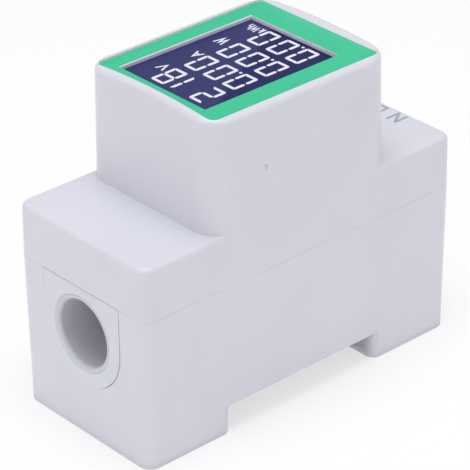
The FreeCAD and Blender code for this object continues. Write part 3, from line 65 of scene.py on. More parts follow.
# Share by which a roughness strays to both sides
WEAR = 0.12
# Where the legs of a chip start, measured from its middle across
CHIP_LEGS = 3.76
SENSOR_WIDTH_MM = 36.0
log = logging.getLogger("wattmeter")


class Body(Enum):
    """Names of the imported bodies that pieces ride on."""

    CASE = "case"
    LATCH = "latch"
    BUTTON_N = "button_n"
    BUTTON_L = "button_l"


def linear(code: str) -> tuple[float, float, float, float]:
    """Turn an sRGB hex code into a linear colour.

    Args:
        code: Six hex digits after a hash sign.

    Returns:
        Red, green, blue and an alpha of one, each from zero to one.
    """
    values = np.array([int(code[k:k + 2], 16) for k in (1, 3, 5)]) / 255.0
    curve = np.where(values <= 0.04045, values / 12.92, ((values + 0.055) / 1.055) ** 2.4)
    return (float(curve[0]), float(curve[1]), float(curve[2]), 1.0)


@dataclass
class Graph:
    """Nodes of a material or of the surround while they are put together.

    Attributes:
        tree: The node tree.
        place: Coordinates fixed to the object.
        shader: The surface shader.
    """

    tree: Tree
    place: Socket | None = None
    shader: Node | None = None

    def add(self, kind: str, values: dict | None = None, links: dict | None = None,
            **settings) -> Node:
        """Add one node with its settings, socket values and links.

        Args:
            kind: The node's type name without its ShaderNode in front.
            values: Fixed value for each input, by name or number.
            links: Node or socket that feeds each input, by name or number.
            settings: Attributes of the node itself.

        Returns:
            The new node.
        """
        node = self.tree.nodes.new("ShaderNode" + kind)
        for name, value in settings.items():
            setattr(node, name, value)
        for name, value in (values or {}).items():
            node.inputs[name].default_value = value
        for name, source in (links or {}).items():
            self.feed(source, node.inputs[name])
        return node

    def feed(self, source: Source, into: Socket) -> None:
        """Link a socket, or the first output that a node has in use, to an input.

        Args:
            source: The socket or the node.
            into: The input.
        """
        if isinstance(source, Node):
            source = next(socket for socket in source.outputs if socket.enabled)
        self.tree.links.new(source, into)

    def paint_over(self, amount: Source, colour: str) -> None:
        """Lay a second colour over the first.

        Args:
            amount: How much of the second colour shows, from zero to one.
            colour: The second colour.
        """
        under = self.shader.inputs["Base Color"].links[0].from_socket
        mixed = self.add("Mix", {7: linear(colour)}, {0: amount, 6: under}, data_type="RGBA")
        self.feed(mixed, self.shader.inputs["Base Color"])

    def paint_light(self, colour: str, strength: Source, share: Source) -> None:
        """Paint light onto the surface as emission whose strength is the product of two values.

        Args:
            colour: Colour of the light.
            strength: One of the two.
            share: The other.
        """
        light = self.add("Math", links={0: strength, 1: share}, operation="MULTIPLY")
        self.shader.inputs["Emission Color"].default_value = linear(colour)
        self.feed(light, self.shader.inputs["Emission Strength"])


def spots(size_mm: float, detail: float) -> dict[str, float]:
    """Values for a noise whose spots are that many millimetres across."""
    return {"Scale": 1.0 / (size_mm * MM), "Detail": detail}


def ramp(low: float, high: float, start: float = 0.35, end: float = 0.65) -> dict[str, float]:
    """Values for a clamped map from start..end to low..high; a noise lies mostly in 0.35..0.65."""
    return {"From Min": start, "From Max": end, "To Min": low, "To Max": high}


@dataclass(frozen=True)
class Leads:
    """Tinned copper wire or legs that one solid shares with its body.

    Attributes:
        axis: Direction that tells wire from body.
        middle_mm: Middle of the body along it.
        reach_mm: Distance from the middle past which all is wire.
        tin: Colour of the tin.
    """

    axis: Spot
    middle_mm: float
    reach_mm: float
    tin: str = "#D6D6D0"


@dataclass(frozen=True)
class Finish:
    """A surface with a slow change of tone and a fine bump, both sized in millimetres.

    Attributes:
        name: What the real surface is and how it was made.
        slot: The record's material slot; not used.
        colour: Its colour.
        shade: The colour that it drifts to.
        drift_mm: Size of the patches of drift.
        roughness: Roughness of the surface.
        metallic: One for metal.
        ior: Index of refraction, left at the default on metal.
        specular: Strength of the reflection, a half for a plain surface.
        grain_mm: Size of the fine bump.
        grain_depth_mm: Height of the fine bump.
        coat: Weight of a clear coat.
        coat_roughness: Roughness of that coat.
        leads: Where the solid turns from body to wire, if it does.
    """

    name: str
    slot: str
    colour: str
    shade: str
    drift_mm: float = 12.0
    roughness: float = 0.5
    metallic: float = 0.0
    ior: float = 1.5
    specular: float = 0.5
    grain_mm: float = 0.3
    grain_depth_mm: float = 0.004
    coat: float = 0.0
    coat_roughness: float = 0.1
    leads: Leads | None = None

    def material(self) -> Material:
        """Build the material.

        Returns:
            The new material.
        """
        made = bpy.data.materials.new(self.name)
        made.use_nodes = True
        made.node_tree.nodes.clear()
        graph = Graph(made.node_tree)
        graph.place = graph.add("TexCoord").outputs["Object"]
        bump = graph.add("Bump", {"Strength": 1.0, "Distance": self.grain_depth_mm * MM},
                         {"Height": self.relief(graph)})
        graph.shader = graph.add("BsdfPrincipled", {
            "Metallic": self.metallic, "IOR": self.ior, "Specular IOR Level": self.specular,
            "Coat Weight": self.coat, "Coat Roughness": self.coat_roughness,
        }, {"Base Color": self.tone(graph), "Roughness": self.wear(graph), "Normal": bump})
        self.extras(graph)
        if self.leads:
            self.wire(graph)
        graph.add("OutputMaterial", links={"Surface": graph.shader})
        return made

    def tone(self, graph: Graph) -> Node:
        """Colour that drifts slowly between the two tones.

        Args:
            graph: The material's nodes.

        Returns:
            The node that gives the colour.
        """
        patches = graph.add("TexNoise", spots(self.drift_mm, 3.0), {"Vector": graph.place})
        amount = graph.add("MapRange", ramp(0.0, 1.0), {"Value": patches})
        return graph.add("Mix", {6: linear(self.colour), 7: linear(self.shade)}, {0: amount},
                         data_type="RGBA")

    def wear(self, graph: Graph) -> Node:
        """Roughness that changes a little from patch to patch.

        Args:
            graph: The material's nodes.

        Returns:
            The node that gives the roughness.
        """
        patches = graph.add("TexNoise", spots(self.drift_mm / 4, 3.0), {"Vector": graph.place})
        low, high = self.roughness * (1.0 - WEAR), min(1.0, self.roughness * (1.0 + WEAR))
        return graph.add("MapRange", ramp(low, high), {"Value": patches})

    def relief(self, graph: Graph) -> Node:
        """Height of the fine grain, from zero to one."""
        return graph.add("TexNoise", spots(self.grain_mm, 2.0), {"Vector": graph.place})

    def extras(self, graph: Graph) -> None:
        """Hook for what one kind of surface has besides.

        Args:
            graph: The material's nodes.
        """

    def wire(self, graph: Graph) -> None:
        """Turn the solid to tinned wire where it lies past the reach of its body.

        Args:
            graph: The material's nodes.
        """
        along = graph.add("VectorMath", {1: self.leads.axis}, {0: graph.place}, operation="DOT_PRODUCT")
        off = graph.add("Math", {1: self.leads.middle_mm * MM}, {0: along}, operation="SUBTRACT")
        apart = graph.add("Math", links={0: off}, operation="ABSOLUTE")
        past = graph.add("Math", {1: self.leads.reach_mm * MM}, {0: apart},
                         operation="GREATER_THAN")
        graph.paint_over(past, self.leads.tin)
        graph.feed(past, graph.shader.inputs["Metallic"])


@dataclass(frozen=True)
class MouldedCase(Finish):
    """Injection-moulded ABS with a fine spark-eroded grain.

    Attributes:
        dust: Colour of the few tiny specks of dust.
        dust_mm: Size of a speck.
        rub_mm: Middle of a rub mark of two faint grey touches.
        rub_tone: Colour of it.
        touches: Height over that middle, reach and strength of each touch.
        rim_mm: Sum of Y and Z past which the thin far wall of the rim gets painted light.
        rim_painted_light: Colour of the painted light on that wall.
        rim_painted_glow: How strong the painted light is.
    """

    dust: str = "#A8A6AC"
    dust_mm: float = 0.7
    rub_mm: Spot | None = None
    rub_tone: str = "#6E6C74"
    touches: tuple[Spot, ...] = ((0.28, 0.42, 0.55), (-0.30, 0.34, 0.40))
    rim_mm: float | None = None
    rim_painted_light: str = "#FFC9EE"
    rim_painted_glow: float = 0.43

    def extras(self, graph: Graph) -> None:
        """Tiny dust specks, the rub mark and the painted light on the rim.

        Args:
            graph: The material's nodes.
        """
        specks = graph.add("TexNoise", spots(self.dust_mm, 1.0), {"Vector": graph.place})
        # So high a start leaves only the rare peaks of the noise
        dust = graph.add("MapRange", ramp(0.0, 0.35, 0.80, 0.84), {"Value": specks})
        graph.paint_over(dust, self.dust)
        if self.rub_mm:
            self.rub(graph)
        # Painted light on the far wall of the rim
        if self.rim_mm:
            self.glow(graph)

    def rub(self, graph: Graph) -> None:
        """Two grey touches that fade out from their middles.

        Args:
            graph: The material's nodes.
        """
        for lift_mm, reach_mm, strength in self.touches:
            centre = (self.rub_mm[0] * MM, self.rub_mm[1] * MM, (self.rub_mm[2] + lift_mm) * MM)
            apart = graph.add("VectorMath", {1: centre}, {0: graph.place}, operation="DISTANCE")
            touch = graph.add("MapRange", ramp(strength, 0.0, reach_mm * 0.2 * MM, reach_mm * MM),
                              {"Value": apart})
            graph.paint_over(touch, self.rub_tone)

    def glow(self, graph: Graph) -> None:
        """Painted light on the wall past the rim's start, where it faces the label.

        Args:
            graph: The material's nodes.
        """
        facing = graph.add("NewGeometry").outputs["Normal"]
        inward = graph.add("VectorMath", {1: (0.0, -1.0, 0.0)}, {0: facing},
                           operation="DOT_PRODUCT")
        turned = graph.add("MapRange", ramp(0.0, self.rim_painted_glow, 0.5, 0.8), {"Value": inward})
        reach = graph.add("VectorMath", {1: (0.0, 1.0, 1.0)}, {0: graph.place}, operation="DOT_PRODUCT")
        past = graph.add("MapRange", ramp(0.0, 1.0, self.rim_mm * MM, (self.rim_mm + 0.4) * MM),
                         {"Value": reach})
        # Painted light: the wall gives off light though no lamp is there
        graph.paint_light(self.rim_painted_light, turned, past)


@dataclass(frozen=True)
class PrintedLabel(Finish):
    """Polycarbonate film printed from behind, whose cut edge is white and carries a painted highlight.

    Attributes:
        edge: Colour of the cut edge and of the painted highlight on it.
        edge_painted_light: Painted light that a cut edge gives off, most where it faces the long side.
        end_painted_light: The same for an edge that faces an end.
    """

    edge: str = "#F2F2F6"
    edge_painted_light: float = 0.32
    end_painted_light: float = 0.05

    def extras(self, graph: Graph) -> None:
        """White on the cut edge and the painted highlight that it gives off.

        Args:
            graph: The material's nodes.
        """
        facing = graph.add("NewGeometry").outputs["Normal"]
        parts = graph.add("SeparateXYZ", links={0: facing})
        upright = graph.add("MapRange", ramp(1.0, 0.0, 0.4, 0.6), {"Value": parts.outputs["Z"]})
        graph.paint_over(upright, self.edge)
        sideways = graph.add("Math", links={0: parts.outputs["X"]}, operation="ABSOLUTE")
        strength = graph.add("MapRange", ramp(self.end_painted_light, self.edge_painted_light, 0.3, 0.8),
                             {"Value": sideways})
        # Painted highlight: the cut edge gives off light though no lamp is there
        graph.paint_light(self.edge, upright, strength)


@dataclass(frozen=True)
class DisplayFilm(Finish):
    """Liquid crystal under a matt polariser with a painted reflection, deeper blue past the slanted line
    where it ends.

    Attributes:
        deep: Colour past the line, where the painted reflection ends.
        slant: Direction across the line where it starts.
        from_mm: Start of the change along that direction.
        to_mm: End of the change.
    """

    deep: str = "#111856"
    slant: Spot = (0.863, 0.507, 0.0)
    from_mm: float = 0.8
    to_mm: float = 1.9

    def extras(self, graph: Graph) -> None:
        """Painted reflection that ends across a slanted line, with the deeper colour past it.

        Args:
            graph: The material's nodes.
        """
        along = graph.add("VectorMath", {1: self.slant}, {0: graph.place}, operation="DOT_PRODUCT")
        amount = graph.add("MapRange", ramp(0.0, 1.0, self.from_mm * MM, self.to_mm * MM),
                           {"Value": along})
        # Painted reflection: the glass turns darker past the slanted line
        graph.paint_over(amount, self.deep)


@dataclass(frozen=True)
class LitSegment(Finish):
    """Clear segment with the backlight behind it.

    Attributes:
        light: Colour of the light.
        glow: How strong it is.
    """

    light: str = "#F0EEF8"
    glow: float = 0.6

    def extras(self, graph: Graph) -> None:
        """Light that comes through from behind."""
        graph.shader.inputs["Emission Color"].default_value = linear(self.light)
        graph.shader.inputs["Emission Strength"].default_value = self.glow


@dataclass(frozen=True)
class BrushedMetal(Finish):
    """Drawn or rolled metal with fine lines along Y.

    Attributes:
        line_mm: Distance between the lines.
        stretch: How much of each axis the lines see, least along their length.
    """

    line_mm: float = 0.12
    stretch: Spot = (1.0, 0.04, 1.0)

    def relief(self, graph: Graph) -> Node:
        """Height of lines stretched along Y."""
        stretched = graph.add("VectorMath", {1: self.stretch}, {0: graph.place}, operation="MULTIPLY")
        return graph.add("TexNoise", spots(self.line_mm, 2.0), {"Vector": stretched})


@dataclass(frozen=True)
class MaskedBoard(Finish):
    """Glass-epoxy laminate with etched copper lanes that show lighter through the solder mask.

    Attributes:
        lane_mm: Distance between two lanes.
        field_mm: Size of the fields in which they run one way.
        copper: Colour of a lane under the mask.
    """

    lane_mm: float = 1.27
    field_mm: float = 9.0
    copper: str = "#3E8C50"

    def extras(self, graph: Graph) -> None:
        """Lanes along X in some fields and along Y in the others.

        Args:
            graph: The material's nodes.
        """
        fields = graph.add("TexNoise", spots(self.field_mm, 0.0), {"Vector": graph.place})
        for direction, low, high in (("X", 0.44, 0.45), ("Y", 0.56, 0.55)):
            # A wave texture at scale one repeats every tenth of pi
            lanes = graph.add("TexWave", {"Scale": math.pi / 10 / (self.lane_mm * MM)},
                              {"Vector": graph.place}, bands_direction=direction)
            line = graph.add("MapRange", ramp(0.0, 0.8, 0.62, 0.7), {"Value": lanes.outputs["Fac"]})
            inside = graph.add("MapRange", ramp(1.0, 0.0, low, high), {"Value": fields})
            amount = graph.add("Math", links={0: line, 1: inside}, operation="MULTIPLY")
            graph.paint_over(amount, self.copper)


@dataclass(frozen=True)
class WoundTape(Finish):
    """Tape wound round a ring whose axis runs along Y, with a small step at each turn's edge.

    Attributes:
        axis_height_mm: Height of the ring's axis.
        wraps: Turns of tape round the whole ring.
    """

    axis_height_mm: float = 21.75
    wraps: float = 46.0

    def relief(self, graph: Graph) -> Node:
        """Height of a saw-tooth that runs with the angle round the ring.

        Args:
            graph: The material's nodes.

        Returns:
            The node that gives the height, from zero to one.
        """
        parts = graph.add("SeparateXYZ", links={0: graph.place})
        height = graph.add("Math", {1: self.axis_height_mm * MM}, {0: parts.outputs["Z"]},
                           operation="SUBTRACT")
        angle = graph.add("Math", links={0: height, 1: parts.outputs["X"]}, operation="ARCTAN2")
        turn = graph.add("Math", {1: self.wraps / (2.0 * math.pi)}, {0: angle},
                         operation="MULTIPLY")
        return graph.add("Math", links={0: turn}, operation="FRACT")


@dataclass(frozen=True)
class PrintedBands(Finish):
    """Surface with printed bands across one axis.

    Attributes:
        axis: The direction that the bands lie across.
        bands: Start and end along it in millimetres, and colour, of each band.
    """

    axis: Spot = (0.0, 1.0, 0.0)
    bands: tuple[tuple[float, float, str], ...] = ()

    def extras(self, graph: Graph) -> None:
        """One colour after the other between its two ends.

        Args:
            graph: The material's nodes.
        """
        along = graph.add("VectorMath", {1: self.axis}, {0: graph.place}, operation="DOT_PRODUCT")
        for start, end, colour in self.bands:
            inside = graph.add("Math", {1: (start + end) / 2 * MM, 2: (end - start) / 2 * MM},
                               {0: along}, operation="COMPARE")
            graph.paint_over(inside, colour)


# Acrylonitrile butadiene styrene, injection moulded: even satin off-white with a lilac tint, a grain
# that only softens the highlights, and a faint skin of gloss that draws a line on the edges.
CASE = MouldedCase("abs_moulded_spark_grain", "case_plastic", "#DDDCE6", "#DAD9E3", 18.0, 0.36,
                   grain_mm=0.22, grain_depth_mm=0.003, coat=0.3, coat_roughness=0.16)
# The cover is the same plastic, with one rub mark on its side and a thin rim round the label whose far
# wall gets painted light.
COVER = replace(CASE, name="abs_moulded_spark_grain_rubbed_painted_rim_light", rub_mm=(17.82, -9.45, 52.4), rim_mm=84.7)
# The tube is painted a shade darker than the case, which stands in for the shade deep in its bore, and
# is duller.
TUBE = replace(CASE, name="abs_moulded_tube_painted_darker", colour="#D2D2DB", shade="#CFCFD8", roughness=0.5, coat=0.0)
# Polycarbonate film printed green from behind: flat, bright colour under a fine matt texture.
LABEL = PrintedLabel("polycarbonate_film_printed_green", "label_film", "#24C090", "#26C291", 9.0, 0.42,
                     grain_mm=0.15, grain_depth_mm=0.0015)
# Blue-negative liquid crystal glass behind a matt polariser: deep violet blue, nearly no reflection of
# its own, with a painted reflection on part of it.
GLASS = DisplayFilm("liquid_crystal_blue_negative", "display_glass", "#2B2F65", "#2D3167", 8.0, 0.35,
                    specular=0.12, grain_mm=0.5, grain_depth_mm=0.0003)
# A segment that is switched on is clear, so it is as white as the light guide behind it.
SEGMENT = LitSegment("liquid_crystal_segment_lit", "display_glass", "#9A98A4", "#9694A0", 3.0, 0.4,
                     specular=0.12, grain_mm=0.5, grain_depth_mm=0.0002)
# Ink laid on by a silicone pad: thin, dull and grey, so the grain of the case shows in it.
PAD_INK = Finish("pad_printed_ink_grey", "case_plastic", "#A6A8B6", "#A0A2B0", 1.2, 0.6,
                 grain_mm=0.22, grain_depth_mm=0.003)
# Cast acrylic light guide: milky white and glossy.
LIGHT_GUIDE = Finish("acrylic_light_guide_milky", "light_guide", "#F2F4F8", "#ECEFF5", 10.0, 0.25,
                     coat=0.5)
# Glass-epoxy laminate under green solder mask: dark, glossy, with lighter copper lanes.
LAMINATE = MaskedBoard("glass_epoxy_board_masked_green", "board_laminate", "#1B5E34", "#174F2D", 3.0,
                       0.35, grain_mm=0.6, grain_depth_mm=0.01, coat=0.4)
# Copper, tinned bright: white metal with fine rolling lines.
TINNED = BrushedMetal("copper_tinned_bright", "tinned_metal", "#D9D9D4", "#CFCFCA", 3.0, 0.28, 1.0,
                      grain_depth_mm=0.002)
# Tin solder, flowed and set: bright metal that sank smoothly round each pin, a little frosted.
SOLDER = Finish("tin_solder_flowed", "tinned_metal", "#D4D5D6", "#C6C7C9", 1.0, 0.24, 1.0, grain_mm=0.4,
                grain_depth_mm=0.004)
# Stainless spring steel, drawn: a greyer metal with finer lines.
SPRING_STEEL = BrushedMetal("spring_steel_drawn", "spring_steel", "#A9A8A4", "#9C9B98", 2.0, 0.32, 1.0,
                            grain_depth_mm=0.002)
# Epoxy moulding compound: near-black and dull, as sandblasted moulds leave it.
CHIP_EPOXY = Finish("epoxy_moulded_black", "black_plastic", "#18181A", "#1D1D20", 4.0, 0.6,
                    grain_mm=0.08, grain_depth_mm=0.004)
METERING_EPOXY = replace(CHIP_EPOXY, name="epoxy_moulded_black_metering",
                         leads=Leads((1.0, 0.0, 0.0), 4.99, CHIP_LEGS))
CONTROLLER_EPOXY = replace(CHIP_EPOXY, name="epoxy_moulded_black_controller",
                           leads=Leads((1.0, 0.0, 0.0), 0.0, CHIP_LEGS))
BRIDGE_EPOXY = replace(CHIP_EPOXY, name="epoxy_moulded_black_bridge",
                       leads=Leads((1.0, 0.0, 0.0), 4.99, 2.01))
# Polyamide, moulded in terminal green: satin with a soft grain.
TERMINAL_PA = Finish("polyamide_moulded_green", "terminal_plastic", "#2F6E4A", "#2B6744", 5.0, 0.45,
                     grain_mm=0.2, grain_depth_mm=0.003)
# Polyamide, moulded in signal orange, for the two release buttons.
BUTTON_PA = Finish("polyamide_moulded_orange", "button_plastic", "#DC7A2B", "#D57426", 2.0, 0.4,
                   grain_mm=0.15, grain_depth_mm=0.003)
# Sintered ferrite: dull charcoal with pits.
FERRITE = Finish("ferrite_sintered", "core_ferrite", "#2A2A2C", "#323234", 2.0, 0.7, grain_mm=0.1,
                 grain_depth_mm=0.01)
# Polyester tape: glossy yellow, stepped where each turn laps the last.
TAPE = WoundTape("polyester_tape_wound", "winding_tape", "#D9B73C", "#CFAD33", 2.5, 0.35,
                 grain_depth_mm=0.06, coat=0.3)
# Extruded PVC insulation: smooth red.
PVC_LEAD = Finish("pvc_insulation_extruded_red", "lead_insulation", "#B01C1C", "#A81818", 4.0, 0.45)
# Film capacitor in a moulded polyester box filled with resin: red, with two straight wires.
FILM_BOX = Finish("polyester_box_filled_red", "capacitor_box", "#C4211C", "#BB1D19", 6.0, 0.4,
                  leads=Leads((0.0, 0.0, 1.0), 39.3, 6.81))
# Electrolytic can in a shrunk PVC sleeve: navy with a pale stripe on the negative side, aluminium top.
PVC_SLEEVE = PrintedBands("pvc_sleeve_shrunk_navy", "capacitor_can", "#1A1D36", "#20233D", 6.0, 0.3,
                          leads=Leads((0.0, 0.0, 1.0), 38.16, 5.66), axis=(1.0, 0.0, 0.0),
                          bands=((8.0, 8.7, "#B9BCC6"),))
# Epoxy dip over a disc: blue with a soft orange peel.
DISC_COAT = Finish("epoxy_dipped_blue", "varistor_coat", "#29569C", "#244E90", 2.0, 0.35, grain_mm=0.8,
                   grain_depth_mm=0.04, leads=Leads((0.0, 0.0, 1.0), 38.7, 5.01))
# Flameproof lacquer on a wire-wound rod: grey green, with the four rings of its value.
LACQUER = PrintedBands("resistor_lacquer_grey_green", "resistor_coat", "#7399A0", "#6C9097", 2.0, 0.4,
                       grain_mm=0.5, grain_depth_mm=0.02, leads=Leads((0.0, 1.0, 0.0), 25.34, 4.5),
                       bands=((22.0, 22.8, "#7A4A24"), (23.6, 24.4, "#17171A"), (25.2, 26.0, "#17171A"),
                              (28.0, 28.8, "#C8A03A")))


class Paint:
    """Gives finishes to CAD nodes and new pieces, each material built once."""

    def __init__(self) -> None:
        """Start with nothing built."""
        self.built: dict[str, Material] = {}

    def of(self, finish: Finish) -> Material:
        """Return the material of a finish.

        Args:
            finish: The finish.

        Returns:
            Its material, the same one each time.
        """
        if finish.name not in self.built:
            self.built[finish.name] = finish.material()
        return self.built[finish.name]

    def node(self, name: str, finish: Finish) -> None:
        """Give a CAD node its finish.

        Args:
            name: The node.
            finish: The finish for all its slots.
        """
        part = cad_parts[name]
        if not part.material_slots:
            part.data.materials.append(self.of(finish))
        for entry in part.material_slots:
            entry.material = self.of(finish)
        log.info("node %s: %s", name, finish.name)

    def piece(self, made: Object, finish: Finish, body: Body) -> None:
        """Give a new piece its finish and its body.

        Args:
            made: The piece.
            finish: Its finish.
            body: The body that it rides on.
        """
        made.data.materials.append(self.of(finish))
        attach(made, body.value)
        log.info("piece %s: %s on %s", made.name, finish.name, body.value)


class SubAssembly:
    """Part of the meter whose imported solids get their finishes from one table."""

    FINISHES: dict[str, Finish] = {}

    def dress(self, paint: Paint) -> None:
        """Give each solid its finish."""
        for name, finish in self.FINISHES.items():
            paint.node(name, finish)


def add_object(name: str, data: bpy.types.ID) -> Object:
    """Make an object of some data and link it to the scene.

    Args:
        name: The object's name.
        data: Its mesh, lamp or camera.

    Returns:
        The new object.
    """
    made = bpy.data.objects.new(name, data)
    bpy.context.scene.collection.objects.link(made)
    return made


def mesh_piece(name: str, points: np.ndarray, faces: list, smooth: bool = False) -> Object:
    """Make an object from points in millimetres.

    Args:
        name: The piece's name.
        points: One row of X, Y, Z for each point, in millimetres.
        faces: Lists of point numbers, seen from outside anticlockwise.
        smooth: Whether the faces shade smoothly.

    Returns:
        The new object, linked to the scene.
    """
    mesh = bpy.data.meshes.new(name)
    mesh.from_pydata((points * MM).tolist(), [], faces)
    mesh.polygons.foreach_set("use_smooth", np.full(len(mesh.polygons), smooth))
    mesh.update()
    return add_object(name, mesh)


def skin(rings: np.ndarray) -> Shell:
    """Close a run of rings to one shell: a quad between neighbours, and a cap at both ends.

    Args:
        rings: Points by ring, by place in the ring and by X, Y, Z, in millimetres. The places run
            anticlockwise for an eye that looks back along the run.

    Returns:
        Points and faces.
    """
    index = np.arange(rings.shape[0] * rings.shape[1]).reshape(rings.shape[:2])
    beside = np.roll(index, -1, axis=1)
    quads = np.stack([index[:-1], beside[:-1], beside[1:], index[1:]], axis=-1).reshape(-1, 4)
    return rings.reshape(-1, 3), [*quads.tolist(), index[0][::-1].tolist(), index[-1].tolist()]


def prism(outline: np.ndarray, low: float, high: float) -> Shell:
    """Raise a flat outline to a closed prism: the same outline at two levels, skinned.

    Args:
        outline: One row of X, Y for each corner, anticlockwise from above, in millimetres.
        low: Lower level.
        high: Upper level.

    Returns:
        Points and faces.
    """
    return skin(np.stack([np.insert(outline, 2, level, axis=1) for level in (low, high)]))


def join(parts: list[Shell]) -> Shell:
    """Put several sets of points and faces into one.

    Args:
        parts: Points and faces of each part.

    Returns:
        Points and faces of them all.
    """
    points, faces, start = [], [], 0
    for more_points, more_faces in parts:
        points.append(more_points)
        faces.extend([[index + start for index in face] for face in more_faces])
        start += len(more_points)
    return np.vstack(points), faces


def prisms(outlines: list[np.ndarray], low: float, high: float) -> Shell:
    """Raise several outlines between the same two levels."""
    return join([prism(outline, low, high) for outline in outlines])


def arc(centre: Flat, radius: float, first: float, last: float, count: int) -> np.ndarray:
    """Points from one angle in degrees to another: centre + radius (cos a, sin a)."""
    angle = np.radians(np.linspace(first, last, count))
    return np.array(centre) + radius * np.column_stack([np.cos(angle), np.sin(angle)])


def to_reader(outline: np.ndarray, left: float, foot: float) -> np.ndarray:
    """Turn U, V into X, Y for a reader at the terminals: U runs to -X and V to -Y."""
    return np.column_stack([left - outline[:, 0], foot - outline[:, 1]])


def tube_along(path: np.ndarray, radius: float, sides: int) -> Shell:
    """Carry a circle along a path and close both ends.

    Each ring's frame comes from the path's own direction and the line towards the path's
    middle axis, which suits a coil: point = centre + radius (cos a outward + sin a across).

    Args:
        path: One row of X, Y, Z for each station, in millimetres.
        radius: Radius of the tube.
        sides: Number of points round it.

    Returns:
        Points and faces.
    """
    ahead = np.gradient(path, axis=0)
    ahead /= np.linalg.norm(ahead, axis=1)[:, None]
    outward = path - path.mean(axis=0)
    outward[:, 1] = 0.0
    outward -= (outward * ahead).sum(axis=1)[:, None] * ahead
    outward /= np.linalg.norm(outward, axis=1)[:, None]
    across = np.cross(ahead, outward)
    angle = np.linspace(0.0, 2.0 * math.pi, sides, endpoint=False)[None, :, None]
    return skin(path[:, None, :] + radius * (np.cos(angle) * outward[:, None, :]
                                             + np.sin(angle) * across[:, None, :]))


class Segment(Enum):
    """Segments of a digit, clockwise from the top, with the middle one last."""

    A = 0
    B = 1
    C = 2
    D = 3
    E = 4
    F = 5
    G = 6


LIT = {"0": "ABCDEF", "1": "BC", "2": "ABGED", "8": "ABCDEFG"}


@dataclass
class SevenSegmentDigit:
    """One digit, worked out in its own plane with U to the reader's right and V up.

    Attributes:
        width: Outer width in millimetres.
        height: Outer height.
        stroke: Width of a segment.
        gap: Gap between two neighbours at a corner.
        tip_gap: Gap between a pointed end and the level of the middle bar.
        corner: Radius of the digit's four outer corners.
        corner_points: Points along half a corner.
    """

    width: float = 3.54
    height: float = 6.1
    stroke: float = 0.66
    gap: float = 0.1
    tip_gap: float = 0.12
    corner: float = 0.5
    corner_points: int = 7

    def corner_arc(self, first: float, last: float) -> np.ndarray:
        """Points of the rounded top left corner between two angles in degrees."""
        centre = (self.corner, self.height - self.corner)
        return arc(centre, self.corner, first, last, self.corner_points)

    def mirrored(self, outline: np.ndarray, across: bool, down: bool) -> np.ndarray:
        """Mirror an outline left to right, top to bottom or both, and keep its sense.

        Args:
            outline: One row of U, V for each corner.
            across: Whether left and right change places.
            down: Whether top and bottom do.

        Returns:
            The mirrored outline.
        """
        turned = outline.copy()
        if across:
            turned[:, 0] = self.width - turned[:, 0]
        if down:
            turned[:, 1] = self.height - turned[:, 1]
        return turned if across == down else turned[::-1]

    def outline(self, segment: Segment) -> np.ndarray:
        """Outline of one segment.

        The top one is half a rounded corner, mirrored for its other end. The upper left one is
        the corner's other half and a pointed lower end. The middle one is a bar with two pointed
        ends. All others mirror one of these.

        Args:
            segment: Which one.

        Returns:
            One row of U, V for each corner, anticlockwise.
        """
        t, g, w, h = self.stroke, self.gap, self.width, self.height
        half = h / 2
        spread = math.degrees(g / self.corner) / 2
        if segment in (Segment.A, Segment.D):
            left = np.vstack([self.corner_arc(90.0, 135.0 - spread), [[t + g / 2, h - t]]])
            right = self.mirrored(left, True, False)
            return self.mirrored(np.vstack([right, left]), False, segment is Segment.D)
        if segment is Segment.G:
            tip, inner = t / 2 + g, t + g
            return np.array([[tip, half], [inner, half - t / 2], [w - inner, half - t / 2],
                             [w - tip, half], [w - inner, half + t / 2], [inner, half + t / 2]])
        low = half + self.tip_gap
        pointed = [[0.0, low + t / 2], [t / 2, low], [t, low + t / 2], [t, h - t - g / 2]]
        upper_left = np.vstack([self.corner_arc(135.0 + spread, 180.0), pointed])
        across = segment in (Segment.B, Segment.C)
        down = segment in (Segment.C, Segment.E)
        return self.mirrored(upper_left, across, down)


def ribbon(path: list[Flat], width: float) -> np.ndarray:
    """Outline of a band of even width along a path, with mitred corners.

    Each path point moves to both sides along the mean of its two edges' normals, lengthened by
    one over the cosine of half the bend.

    Args:
        path: Middle line in U, V.
        width: Width of the band, whose ends are cut square.

    Returns:
        One row of U, V for each corner, anticlockwise.
    """
    line = np.array(path, float)
    edge = np.diff(line, axis=0)
    edge /= np.linalg.norm(edge, axis=1)[:, None]
    normal = np.column_stack([-edge[:, 1], edge[:, 0]])
    before = np.vstack([normal[:1], normal])
    after = np.vstack([normal, normal[-1:]])
    middle = before + after
    middle /= np.linalg.norm(middle, axis=1)[:, None]
    reach = width / 2 / (middle * before).sum(axis=1)
    left = line + middle * reach[:, None]
    right = line - middle * reach[:, None]
    return np.vstack([right, left[::-1]])


def level_cut(path: list[Flat], width: float, low: float, high: float) -> np.ndarray:
    """Ribbon whose points are pulled back between two levels, which cuts its ends level.

    Args:
        path: Middle line in U, V.
        width: Width of the band.
        low: Lower level.
        high: Upper level.

    Returns:
        One row of U, V for each corner, anticlockwise.
    """
    outline = ribbon(path, width)
    outline[:, 1] = np.clip(outline[:, 1], low, high)
    return outline


